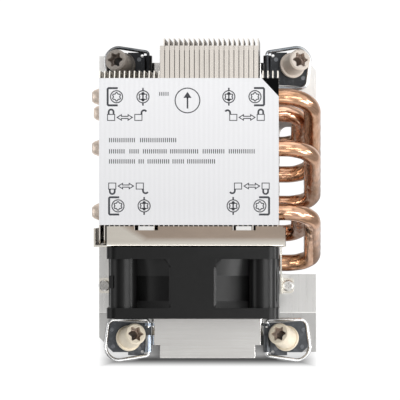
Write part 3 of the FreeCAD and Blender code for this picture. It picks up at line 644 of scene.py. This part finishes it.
def blackened_steel(name, rgb, barrel=None):
    """Blackened spring steel under a film of oil: dark, with worn lighter spots. barrel is
    the tone of a painted reflection along the top of the hinge barrel."""
    m = Skin(name, rgb)
    wear = m.grain(1.6, 5.0, 0.7)
    m.tint(2.0, wear, 0.5, 0.75, 0, 0.8)
    if barrel:
        x, _, z = m.place()
        # painted reflection along the top of the hinge barrel
        barrel_painted_reflection = m.near(x, -HINGE_X, 1.25, 0.1)
        m.tint(barrel, m.math("MULTIPLY", barrel_painted_reflection, m.ranged(z, 4.4, 4.7)))
    return m.finish(m.ranged(wear, 0.3, 0.7, 0.28, 0.42), wear, 0.006)


def ivory_nylon(name, rgb, socket_painted_shade, stain=0):
    """Moulded nylon: soft flow marks, satin gloss, and a painted shade in the socket. stain
    is how far a painted shade darkens the shank below the head."""
    m = Skin(name, rgb, 0.94, IOR=1.53)
    fine = m.grain(0.25, 2.0)
    m.tint(1.05, m.grain((3, 3, 5), 3.0), 0.3, 0.7)
    deep = m.add("Attribute", attribute_name="socket").outputs["Fac"]
    # painted shade in the socket
    m.tint(socket_painted_shade, deep, 0.02, 0.5, 0, 0.85)
    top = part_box("nut_rear_left")[1].z / MM
    # painted shade on the shank below the head
    m.tint(0.22, m.inside((Z, top - 1.5, top - 7, 0, stain)))
    return m.finish(m.ranged(fine, 0.3, 0.7, 0.36, 0.48), fine, 0.006)


def spring_wire(name, bright, dark):
    """Drawn steel wire: fine draw marks, and a painted shade nearest the middle of the
    heatsink that gives way to the bright tone towards the outside."""
    m = Skin(name, dark)
    marks = m.grain((0.4, 0.4, 6), 3.0, attribute="straight")
    # painted shade on the inner part of the wire
    m.tint(bright, m.math("ABSOLUTE", m.place()[X]), 33.0, 36.5)
    m.tint(times(bright, 0.6), marks, 0.35, 0.7, 0, 0.4)
    return m.finish(m.ranged(marks, 0.3, 0.7, 0.2, 0.3), marks, 0.002)


# ---- operators ----
class BuildStep:
    """Operator that builds with the settings. part names those under its button."""
    part = None

    def execute(self, context):
        self.build(context.scene.heatsink)
        return {"FINISHED"}


class HEATSINK_OT_base(BuildStep, bpy.types.Operator):
    """Finish the base plate, its brushed spine and the copper cold plate"""
    bl_idname = "heatsink.base"
    bl_label = "Base"
    part = "aluminium"

    def build(self, s):
        metal = s.aluminium
        edge_broken("base_plate", "cast_aluminium", metal.edge,
                    brushed_aluminium("Milled aluminium base", metal.base,
                                      (0.35, 22, 0.35), (0.24, 0.36), zones_and_painted_light=True))
        edge_broken("base_spine", "brushed_aluminium", metal.edge,
                    brushed_aluminium("Brushed aluminium spine", metal.spine,
                                      (26, 0.35, 0.35), (0.16, 0.27)))
        edge_broken("cold_plate", "copper", metal.edge,
                    lapped_copper(s.pipes.bright, s.pipes.dull))


# In millimetres: y of the leg in the base, y and height of the leg in the fins, x of the
# riser, and the radii of the lower and the upper bend
PIPE_ROUTES = {
    "heat_pipe_1": (21.2, 32.1, 34.0, 33.0, (7.0, 7.0)),
    "heat_pipe_2": (10.6, 37.6, 49.0, 37.6, (9.0, 10.0)),
    "heat_pipe_3": (0.0, 19.6, 49.0, 37.6, (9.0, 10.0)),
    "heat_pipe_4": (-10.6, -2.4, 34.0, 33.0, (7.0, 7.0)),
    "heat_pipe_5": (-21.2, -2.8, 49.0, 37.6, (9.0, 10.0)),
}
PIPE_R = 3.0 * MM
PIPE_FLAT_H = 2.7 * MM
PIPE_FLAT_W = PIPE_R * math.pi + PIPE_FLAT_H * (1 - math.pi / 2)   # same girth
# In millimetres: x where the lower leg starts, x where it begins to round out and over
# what length, x of the recess's end, and heights of the seat and of the round tube's axis
PIPE_START_X, PIPE_EASE_X, PIPE_EASE, RECESS_X = -32.5, 20.8, 5.1, 25.9
PIPE_SEAT_Z, PIPE_ROUND_Z = 1.0, 3.5


def pressed_section(side, rise):
    """Section pressed flat: points within 45 degrees of the sides lie on half circles,
    the others on straights between them. side and rise are cos t and sin t."""
    half_h, half_s = PIPE_FLAT_H / 2, (PIPE_FLAT_W - PIPE_FLAT_H) / 2
    limit = math.cos(math.pi / 4)
    quarter = np.arcsin(np.clip(np.abs(rise) / math.sin(math.pi / 4), 0, 1))
    on_bow = np.abs(side) > limit
    bow = np.sign(side) * (half_s + half_h * np.cos(quarter))
    return np.column_stack([np.where(on_bow, bow, half_s * side / limit),
                            np.sign(rise) * half_h * np.sin(quarter)])


def pipe_surface(name, settings):
    """One heat pipe. The section is a circle where the tube is round and half circles
    joined by straights where it is pressed flat: w (a, b) + (1 - w) (A, B), with w easing
    from 1 to 0 at the base's recess. The closed tip tapers as a quarter ellipse."""
    low_y, high_y, high_z, riser_x, bends = PIPE_ROUTES[name]
    tip_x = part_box(name)[0].x / MM
    corners = np.array([
        (PIPE_START_X, low_y, PIPE_ROUND_Z), (riser_x, low_y, PIPE_ROUND_Z),
        (riser_x, high_y, high_z), (tip_x, high_y, high_z)]) * MM
    route, run = rounded_route(corners, np.array(bends) * MM, settings.ring_step)
    x, low_leg = route[:, 0] / MM, run < (RECESS_X - PIPE_START_X) * MM
    flat = np.where(low_leg, 1 - smooth((x - PIPE_EASE_X) / PIPE_EASE), 0)
    route[:, 2] -= flat * (PIPE_ROUND_Z - PIPE_SEAT_Z - PIPE_FLAT_H / MM / 2) * MM

    turn, ring = circle(48)
    # the tip narrows 2.1 mm before its end and rounds off over the last 0.5 mm
    left = (run[-1] - run) / MM
    taper = 1 - 0.20 * smooth((2.1 - left) / 0.9)
    taper = taper * np.sqrt(1 - 0.5 * np.clip(1 - left / 0.5, 0, 1) ** 2)
    bend = np.exp(-((route[:, 2] / MM - (high_z + PIPE_ROUND_Z) / 2) / 30) ** 4)
    wobble = (1 + settings.dent / PIPE_R * np.sin(run / MM * 0.9 + low_y)[:, None]
              * np.sin(2 * turn + run[:, None] / MM * 0.21) * (1 - flat)[:, None])
    shape = (flat[:, None, None] * pressed_section(*ring.T)
             + (1 - flat)[:, None, None] * ring * PIPE_R)
    shape = shape * taper[:, None, None] * wobble[..., None]
    shape[..., 0] *= 1 - 0.02 * bend[:, None] * (1 - flat)[:, None]
    rings = sections_along(route, (0, 1, 0), shape[..., 1], shape[..., 0])
    straight = unrolled(shape, run, 40 * low_y)
    return tube_mesh(name + "_tube", rings[:, ::-1], straight[:, ::-1])


class HEATSINK_OT_pipes(BuildStep, bpy.types.Operator):
    """Add the five bent copper heat pipes"""
    bl_idname = "heatsink.pipes"
    bl_label = "Heat pipes"
    part = "pipes"

    def build(self, s):
        copper = drawn_copper(s.pipes.bright, s.pipes.dull, s.pipes.tip)
        for name in PIPE_ROUTES:
            seat(pipe_surface(name, s.pipes), "copper", copper, name)


class HEATSINK_OT_fins(BuildStep, bpy.types.Operator):
    """Finish the three groups of folded fins"""
    bl_idname = "heatsink.fins"
    bl_label = "Fins"

    def build(self, s):
        rgb = s.aluminium.fins
        dress(rolled_fin_sheet("Rolled aluminium fins", rgb, False),
              "fins_left", "fins_right")
        dress(rolled_fin_sheet("Rolled aluminium middle fins", times(rgb, 1.12), True),
              "fins_center")


# ---- label print, in millimetres ----
def ribbon(points, width, closed=False):
    """Line of even width along points: each moves half the width along the mitre of its
    two runs, to either side."""
    p = np.asarray(points, float)
    before = np.roll(p, 1, 0) if closed else np.vstack([2 * p[0] - p[1], p[:-1]])
    after = np.roll(p, -1, 0) if closed else np.vstack([p[1:], 2 * p[-1] - p[-2]])
    a = unit(p - before)
    mitre = unit(a + unit(after - p))
    side = np.column_stack([-mitre[:, 1], mitre[:, 0]])
    reach = width / 2 / np.maximum(0.5, (mitre * a).sum(1))[:, None]
    n = len(p)
    runs = [(i, (i + 1) % n) for i in range(n if closed else n - 1)]
    tops = [[i, k, n + k, n + i] for i, k in runs]
    borders = runs + [(n + k, n + i) for i, k in runs]
    if not closed:
        borders += [(n, 0), (n - 1, 2 * n - 1)]
    return np.vstack([p - side * reach, p + side * reach]), tops, borders


def filled(points):
    """Filled shape inside a closed outline that runs anticlockwise."""
    n = len(points)
    return np.asarray(points, float), [list(range(n))], [(i, (i + 1) % n) for i in range(n)]


def arc_points(x, y, r, start, end, count):
    """Points on a circle from one angle to another, in degrees."""
    t = np.radians(np.linspace(start, end, count))
    return np.column_stack([x + r * np.cos(t), y + r * np.sin(t)])


def star_points(x, y, r):
    """Six-lobed outline with a lobe at the top: radius r (0.86 + 0.14 cos 6t)."""
    t, ring = circle(48)
    radius = r * (0.86 + 0.14 * np.cos(6 * (t - math.pi / 2)))
    return radius[:, None] * ring + (x, y)


def moved(x, y, points, side=1, up=1):
    """Points moved to x, y; a side or an up of -1 mirrors them first."""
    return np.array(points) * (side, up) + (x, y)


TRIANGLE = ((-0.75, 0.7), (0.75, 0.7), (0, 1.45))
BRACKET = ((3.5, 3), (0.3, 3), (0, 2.7), (0, -2.7), (0.3, -3), (3.5, -3))
BOX = ((-1.25, -1.05), (1.25, -1.05), (1.25, 1.05), (-1.25, 1.05))
ARROW_HEAD = ((1.5, 0.38), (1.5, 0.95), (0, 0), (1.5, -0.95), (1.5, -0.38))
STROKE_WIDE, STROKE_STEP = 0.31, 0.72


def nut_mark(x, y, turns, width):
    """Round nut seen from above, with stubs and a double arrow if it is the turning one."""
    parts = [ribbon(arc_points(x, y, 2.1, 0, 360 - 10, 36), width, True),
             ribbon(star_points(x, y, 1.5), width, True)]
    if turns:
        parts += [ribbon([(x, y + low), (x, y + high)], 1.4 * width)
                  for low, high in ((2.1, 3.1), (-3.1, -2.1), (-1.0, 1.0))]
        parts += [filled(moved(x, y, TRIANGLE, up, up)) for up in (1, -1)]
    return parts


def bracket_mark(x, y, side, width):
    """Square bracket beside a nut; side is where its back stands, -1 left or 1 right."""
    return ribbon(moved(x, y, BRACKET, -side), 1.9 * width)


def latch_mark(x, y, side, is_open, up, width):
    """Box with a bow over it, closed or swung open; up is 1 for a bow above, -1 below."""
    top = BOX[-1][1]
    if is_open:
        start, end = (0, 150) if side < 0 else (180, 30)
        bow = arc_points(side * 2.0, 1.6, 0.9, start, end, 14)
        bow = np.vstack([[(bow[0, 0], top)], bow])
    else:
        r = 0.85
        bow = np.vstack([[(r, top)], arc_points(0, 1.9, r, 0, 180, 16), [(-r, top)]])
    return [ribbon(moved(x, y, BOX), 0.8 * width, True),
            ribbon(moved(x, y, bow, 1, up), 1.7 * width)]


def double_arrow(x0, x1, y, width):
    """Outlined arrow with a head at each end."""
    ends = moved(x0, y, ARROW_HEAD), moved(x1, y, ARROW_HEAD[::-1], -1)
    return ribbon(np.roll(np.vstack(ends), -2, 0), 0.9 * width, True)


def stroke_rows(x, y, widths, height, gap):
    """Groups of short upright strokes, in place of a line of words."""
    half, parts = height / 2, []
    stroke = ((0, -half), (STROKE_WIDE, -half), (STROKE_WIDE, half), (0, half))
    for w in widths:
        for i in range(max(2, round(w / STROKE_STEP))):
            parts.append(filled(moved(x + i * STROKE_STEP, y, stroke)))
        x += w + gap
    return parts


# Upper and lower row of pictures: y of the nuts and of the latches, the way the bows point,
# and for the left and the right x of the nut, the turning nut, the bracket's back, the shut
# latch, the open latch and the two ends of the arrow
PICTURE_ROWS = (
    (37.3, 30.1, 1, (-30.5, -21.3, -33.6, -32.4, -22.9, -30.3, -25.0),
     (17.7, 8.6, 20.85, 19.7, 10.15, 12.2, 17.7)),
    (-0.7, 6.2, -1, (-30.0, -20.9, -33.1, -32.0, -22.4, -29.9, -24.6),
     (19.4, 10.1, 22.6, 21.4, 11.8, 13.9, 19.3)),
)
# x of the left end, y, widths of the groups, height and gap of each row of strokes
STROKE_ROWS = (
    (-33.1, 22.2, (9.6, 12.6), 1.5, 1.2),
    (-33.1, 18.3, (6.0, 3.6, 8.4, 10.2, 8.0, 9.6), 1.5, 1.1),
    (-33.1, 14.8, (9.2, 2.0, 7.6, 4.0, 10.4), 1.5, 1.1),
    (-15.6, 38.3, (3.6,), 1.3, 0.5),
)
AIR_X = -5.8   # middle of the ring with the arrow


def label_marks(width):
    """All printed shapes: nut and latch pictures at the four corners, rows of strokes, and
    a ring with an arrow for the air's way."""
    marks = []
    for nut_y, latch_y, up, *sides in PICTURE_ROWS:
        for side, (nut_x, turn_x, back_x, shut_x, open_x, *arrow) in zip((-1, 1), sides):
            marks += nut_mark(nut_x, nut_y, False, width)
            marks += nut_mark(turn_x, nut_y, True, width)
            marks.append(bracket_mark(back_x, nut_y, side, width))
            marks += latch_mark(shut_x, latch_y, side, False, up, width)
            marks += latch_mark(open_x, latch_y, -side, True, up, width)
            marks.append(double_arrow(*arrow, latch_y, width))
    for row in STROKE_ROWS:
        marks += stroke_rows(*row)
    marks += [ribbon(arc_points(AIR_X, 36.0, 4.3, 0, 350, 36), width, True),
              ribbon([(AIR_X, 33.2), (AIR_X, 37.2)], 1.5 * width),
              filled([(AIR_X - 1.4, 36.9), (AIR_X + 1.4, 36.9), (AIR_X, 39.0)])]
    return marks


class HEATSINK_OT_label(BuildStep, bpy.types.Operator):
    """Finish the film label and print its plain shapes"""
    bl_idname = "heatsink.label"
    bl_label = "Label"
    part = "label"

    def build(self, s):
        s = s.label
        dress(white_film(s.film), "top_label")
        shapes = [(outline * MM, tops, borders)
                  for outline, tops, borders in label_marks(s.stroke / MM)]
        x, y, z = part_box("top_label")[1]
        wide, long = 5.95 * MM, 6.4 * MM
        corner = filled([(x - wide, y), (x, y - long), (x, y)])
        grey = printed_ink("Grey screen ink", s.ink, 0.3)
        black = printed_ink("Black screen ink", s.corner, 0.05)
        for name, slabs, ink in (("label_print", shapes, grey),
                                 ("label_corner", [corner], black)):
            seat(joined_slabs(name, slabs, z, s.ink_height), "label_film", ink)


class HEATSINK_OT_fan(BuildStep, bpy.types.Operator):
    """Finish the fan: moulded frame and rotor, shaft, bearings, motor and screws"""
    bl_idname = "heatsink.fan"
    bl_label = "Fan"
    part = "fan"

    def build(self, s):
        black = moulded_plastic("Black moulded fan plastic", s.fan.plastic, (0.29, 0.36),
                                gloss=0.25, ramps=True)
        edge_broken("fan_frame", "black_plastic", s.fan.edge, black, crease=8,
                    weld=True)
        edge_broken("fan_rotor", "black_plastic", s.fan.edge / 2, black, "rotor")
        dress(plated_sheet("Ground steel shaft", "#D2D4D8", 0.3),
              "fan_shaft", "fan_bearings", "fan_screws")
        dress(moulded_plastic("Bonded ferrite magnet", linear("#2B2A2A"), (0.6, 0.75),
                              grit=0.3), "fan_magnet")
        dress(plated_sheet("Varnished motor core", "#8C7B66", (9, 0.35, 9), (0.35, 0.5)),
              "fan_stator")
        dress(moulded_plastic("Green circuit board", linear("#1F5B3A"), (0.3, 0.45),
                              0.2, 0.5), "fan_circuit_board")


class HEATSINK_OT_shroud(BuildStep, bpy.types.Operator):
    """Finish the bent sheet shroud and its screws"""
    bl_idname = "heatsink.shroud"
    bl_label = "Shroud"

    def build(self, s):
        s = s.fixings
        edge_broken("fan_shroud", "plated_sheet", s.edge,
                    nickel_sheet(s.shroud, s.bright_shroud))
        edge_broken("shroud_screws", "bright_steel", s.edge,
                    plated_sheet("Zinc-plated screw", "#C9C7C4", 1.2))


# ---- corner fixings, in millimetres ----
SIDES = {"front_left": (-1, -1), "front_right": (1, -1),
         "rear_left": (-1, 1), "rear_right": (1, 1)}
# x of the hinge, x where its wire begins to thicken and over what length
HINGE_X, HINGE_END_X, SWELL_LENGTH = 21.35, 21.6, 0.8
# corners of a wire loop seen from its own corner of the base: x, y and bend radius
WIRE_CORNERS = ((HINGE_X, 44.6, 0), (HINGE_X, 41.6, 1.2), (35.4, 41.6, 2.4),
                (37.0, 52.9, 4.6), (33.5, 56.4, 4.4), (HINGE_X, 54.5, 0.9),
                (HINGE_X, 50.2, 0))
WIRE_Z, WIRE_R = 4.75, 0.55
WIRE_END = 0.8   # share of the radius at the cut ends
# a nut's turning point on its seat, its height, the reach of its socket, and the sideways
# travel of each loose nut's top
NUT_SEAT = (29.4, 49.0, 3.8)
NUT_TOP = 11.8
SOCKET_R, SOCKET_FADE = 2.85, 1.5
NUT_LEAN = {"front_left": (3.9, 2.6), "front_right": (-3.9, 2.7),
            "rear_left": (-3.4, 2.6), "rear_right": (4.0, 2.6)}


def wire_surface(corner, settings):
    """Wire loop: a circle carried along the route. Its radius is R inside the hinge and
    eases to R + swell outside: R + swell smooth(away from the hinge's axis)."""
    sx, sy = SIDES[corner]
    points = np.array([(sx * x, sy * y, WIRE_Z) for x, y, _ in WIRE_CORNERS]) * MM
    radii = [r * MM for _, _, r in WIRE_CORNERS[1:-1]]
    route, run = rounded_route(points, radii, settings.wire_step)
    out = smooth((np.abs(route[:, 0]) / MM - HINGE_END_X) / SWELL_LENGTH)
    radius = WIRE_R * MM + settings.wire_swell * out
    radius[[0, -1]] *= WIRE_END
    shape = circle(24)[1] * radius[:, None, None]
    rings = sections_along(route, (0, 0, 1), shape[..., 0], shape[..., 1])
    return tube_mesh("wire_" + corner, rings, unrolled(shape, run))


def mark_socket(obj, corner):
    """Depth in the nut's socket as an attribute: 1 where it is SOCKET_FADE or more under
    the nut's top and within SOCKET_R of its leaning axis, 0 at the top."""
    dx, dy = NUT_LEAN[corner]
    axis = np.array([dx, dy, math.sqrt(NUT_TOP ** 2 - dx * dx - dy * dy)]) / NUT_TOP
    p = np.empty(len(obj.data.vertices) * 3)
    obj.data.vertices.foreach_get("co", p)
    p = p.reshape(-1, 3) / MM - np.array([*SIDES[corner], 1]) * NUT_SEAT
    up = p @ axis
    out = np.linalg.norm(p - up[:, None] * axis, axis=1)
    depth = np.where(out < SOCKET_R, np.clip((NUT_TOP - up) / SOCKET_FADE, 0, 1), 0)
    point_values(obj.data, "socket", depth)


class HEATSINK_OT_corners(BuildStep, bpy.types.Operator):
    """Finish the corner fixings: nuts, clip plates, rivets and wire loops"""
    bl_idname = "heatsink.corners"
    bl_label = "Corner fixings"
    part = "fixings"

    def build(self, s):
        s = s.fixings
        ivory = ivory_nylon("Ivory moulded nylon", s.nut, s.socket_painted_shade)
        # the rear nuts take shaded copies of the nylon: painted shade, deepest at the rear
        # left
        rear_left_nut_painted_shade = times(s.rear_nut_painted_shade, 0.8)
        nylons = {
            "rear_left": ivory_nylon("Moulded nylon, deep painted shade", rear_left_nut_painted_shade, s.socket_painted_shade, 0.9),
            "rear_right": ivory_nylon("Moulded nylon, painted shade", s.rear_nut_painted_shade, s.socket_painted_shade)}
        # the rear clips take a darker copy of the clip steel: painted shade
        rear_clip_painted_shade = blackened_steel("Spring steel, painted shade", times(s.clip, 0.5))
        plates = {"front_left": blackened_steel("Spring steel, painted barrel reflection", s.clip, s.barrel),
                  "front_right": blackened_steel("Blackened spring steel", s.clip)}
        front = spring_wire("Bright drawn wire", s.wire, s.wire)
        grey = times(s.wire_painted_shade, 3.2)
        wires = {"rear_left": spring_wire("Dark drawn wire", s.wire, s.wire_painted_shade),
                 "rear_right": spring_wire("Grey drawn wire", s.wire, grey)}
        for corner in SIDES:
            nut = edge_broken("nut_" + corner, "ivory_plastic", s.edge,
                              nylons.get(corner, ivory), "nut_" + corner)
            mark_socket(nut, corner)
            edge_broken("clip_plate_" + corner, "black_spring_steel", s.edge,
                        plates.get(corner, rear_clip_painted_shade))
            seat(wire_surface(corner, s), "bright_steel", wires.get(corner, front),
                 "wire_bail_" + corner, body="bail_" + corner)
        dress(plated_sheet("Rivet steel", "#6E7074", 1), "clip_rivets")


# ---- stage ----
class HEATSINK_OT_stage(BuildStep, bpy.types.Operator):
    """Add the floor, the lamps, the world and the camera"""
    bl_idname = "heatsink.stage"
    bl_label = "Stage"
    part = "stage"

    def build(self, s):
        s = s.stage
        add_floor(s)
        add_world(s)
        for lamp in (
                ("Key softbox", (0.92, -0.50, 0.62), (0.3, 0.4), 0.9 * s.softbox_watts),
                ("Front softbox", (0.0, -0.80, 1.0), (0.8, 0.5), 0.8 * s.softbox_watts),
                ("Back softbox", (0.15, 0.72, 1.02), (0.8, 0.5), 0.5 * s.softbox_watts),
                ("Side strip", (0.62, 0.0, 1.10), (0.22, 0.9), s.strip_watts),
                ("Low strip", (1.25, -0.10, 0.16), (0.14, 0.7), s.low_watts)):
            add_lamp(*lamp)
        add_camera(s)
        bpy.context.scene.view_settings.view_transform = "Standard"


def add_floor(s):
    """Wide round floor: rings of points round the origin, radius growing outwards. It is
    shaded paper near the heatsink and glows evenly elsewhere, with a bright strip on each
    side that the pipe bends mirror. To the camera the paper shows darker than it is lit,
    and far darker in a band before the front edge: painted shadow."""
    radii, count = np.array([0.2, 0.6, 2.0, 6.0]), 64
    points = np.pad(radii[:, None, None] * circle(count)[1], ((0, 0), (0, 0), (0, 1)))
    faces = ring_quads(len(radii), count) + [list(range(count))]
    obj = make_mesh("floor", points.reshape(-1, 3), faces)
    material = bpy.data.materials.new("Pale studio floor")
    n = Nodes(material)
    place = n.add("TexCoord").outputs["Object"]
    x, y, _ = n.add("SeparateXYZ", {"Vector": place}).outputs
    aside = n.math("ABSOLUTE", x)
    path = n.add("LightPath").outputs
    seen, glossy = path["Is Camera Ray"], path["Is Glossy Ray"]
    shown = n.math("MAXIMUM", seen, n.math("MAXIMUM", glossy, path["Is Transmission Ray"]))

    tones = opaque(s.floor), opaque(times(s.floor, 0.995))
    tone = n.mixed(n.ranged(n.grain(40, 2.0), 0.3, 0.7), *tones)
    # painted shadow: the paper's shade is deepened, most in a band before the front edge
    gain = n.ranged(y, -0.0544, -0.0558, s.floor_gain, 0.2 * s.floor_gain)
    paper = n.add("VectorMath", {0: tone, "Scale": n.between(seen, 1.0, gain)},
                  operation="SCALE").outputs[0]
    cloth = n.add("BsdfDiffuse", {"Color": paper}).outputs[0]
    strips = n.math("MULTIPLY", n.ranged(aside, 0.043, 0.057, s.floor_gloss, 1.05),
                    n.ranged(aside, 0.067, 0.095, 1, 0.44))
    level = n.between(glossy, 1.1, strips)
    glow = n.add("Emission", {"Color": tones[0], "Strength": level}).outputs[0]

    reach = n.add("VectorMath", {0: place}, operation="LENGTH").outputs["Value"]
    far_off = n.ranged(reach, 0.070, 0.090)
    behind_front = n.ranged(y, -0.0500, -0.0480, 0, s.table_glow)
    front_corners = n.math("MULTIPLY", n.ranged(aside, 0.0245, 0.0285, 0, 0.55),
                           n.ranged(y, -0.0568, -0.0556, 0.2, 1))
    before_front = n.ranged(y, -0.0560, -0.0593, interpolation_type="SMOOTHSTEP")
    beside = n.ranged(aside, 0.032, 0.040)
    lit = n.folded("MAXIMUM", far_off, behind_front, front_corners, before_front, beside)
    mix = n.add("MixShader", {0: n.math("MULTIPLY", lit, shown), 1: cloth, 2: glow})
    n.add("OutputMaterial", {"Surface": mix.outputs[0]})
    obj.data.materials.append(material)


def add_world(s):
    """Even studio surround: white to the camera, and for gloss bright overhead and at
    cards on all four sides, dim elsewhere near the ground."""
    world = bpy.data.worlds.new("Studio surround")
    bpy.context.scene.world = world
    n = Nodes(world)
    way = n.add("TexCoord").outputs["Generated"]
    x, y, z = n.add("SeparateXYZ", {"Vector": way}).outputs
    front_and_back = n.math("MAXIMUM", n.ranged(y, 0.5, 0.85, 0, 1.8),
                            n.ranged(y, -0.5, -0.85, 0, 1.0))
    bright = n.math("MAXIMUM", n.ranged(z, 0.35, 0.9, 0.12, 1.1), front_and_back)
    dimmed = n.math("MULTIPLY", n.ranged(x, -0.5, 0.25, 0.16, 1.0), bright)
    left = n.ranged(x, -0.78, -0.9, 0, 1.8)
    right = n.math("MULTIPLY", n.ranged(x, 0.42, 0.6, 0, 1.2), n.ranged(z, -0.04, 0.04))
    gloss = n.folded("MAXIMUM", dimmed, left, right)
    path = n.add("LightPath").outputs
    seen = n.math("MAXIMUM", path["Is Camera Ray"], path["Is Transmission Ray"])
    level = n.between(seen, n.between(path["Is Glossy Ray"], s.ambient, gloss), 1.0)
    shine = n.add("Background", {"Color": (1, 1, 1, 1), "Strength": level})
    n.add("OutputWorld", {"Surface": shine.outputs[0]})


def add_lamp(name, place, size, watts):
    """Softbox that faces the middle of the heatsink; size is along X and across."""
    lamp = bpy.data.lights.new(name, "AREA")
    lamp.shape = "RECTANGLE"
    lamp.size, lamp.size_y = size
    lamp.energy = watts
    obj = linked(name, lamp)
    obj.location = place
    towards = Vector((0, 0, 0.03)) - Vector(place)
    obj.rotation_euler = towards.to_track_quat("-Z", "Y").to_euler()


def add_camera(s):
    """Camera almost straight above, a little towards the pipe side, with +Y up."""
    data = bpy.data.cameras.new("Camera")
    data.lens = s.focal
    data.clip_start, data.clip_end = 0.1, 20.0
    obj = linked("Camera", data)
    place, target = Vector((0.0374, 0, s.camera_height)), Vector((-0.00281, 0.0014, 0))
    back = (place - target).normalized()
    right = Vector((0, 1, 0)).cross(back).normalized()
    turn = Matrix((right, back.cross(right), back)).transposed()
    obj.matrix_world = Matrix.Translation(place) @ turn.to_4x4()
    bpy.context.scene.camera = obj


# ---- add-on ----
STEPS = (HEATSINK_OT_stage, HEATSINK_OT_base, HEATSINK_OT_pipes, HEATSINK_OT_fins,
         HEATSINK_OT_label, HEATSINK_OT_fan, HEATSINK_OT_shroud, HEATSINK_OT_corners)


class HEATSINK_PT_panel(bpy.types.Panel):
    """Pieces and settings of the heatsink"""
    bl_label = "Heatsink"
    bl_idname = "HEATSINK_PT_panel"
    bl_space_type = "VIEW_3D"
    bl_region_type = "UI"
    bl_category = "Heatsink"

    def draw(self, context):
        settings = context.scene.heatsink
        for step in STEPS:
            box = self.layout.box()
            box.operator(step.bl_idname)
            if step.part:
                part = getattr(settings, step.part)
                for setting in part.__annotations__:
                    box.prop(part, setting)


CLASSES = (PipeSettings, AluminiumSettings, LabelSettings, FanSettings, FixingSettings,
           StageSettings, HeatsinkSettings, *STEPS, HEATSINK_PT_panel)


def register():
    """Register the classes and hang the settings on the scene."""
    for cls in CLASSES:
        bpy.utils.register_class(cls)
    bpy.types.Scene.heatsink = group(
        HeatsinkSettings, "Heatsink", "Settings of the heatsink")


def unregister():
    """Undo register."""
    del bpy.types.Scene.heatsink
    for cls in reversed(CLASSES):
        bpy.utils.unregister_class(cls)


def main():
    """Register the classes and build everything in order."""
    register()
    for step in STEPS:
        module, name = step.bl_idname.split(".")
        getattr(getattr(bpy.ops, module), name)()


if __name__ == "__main__":
    main()
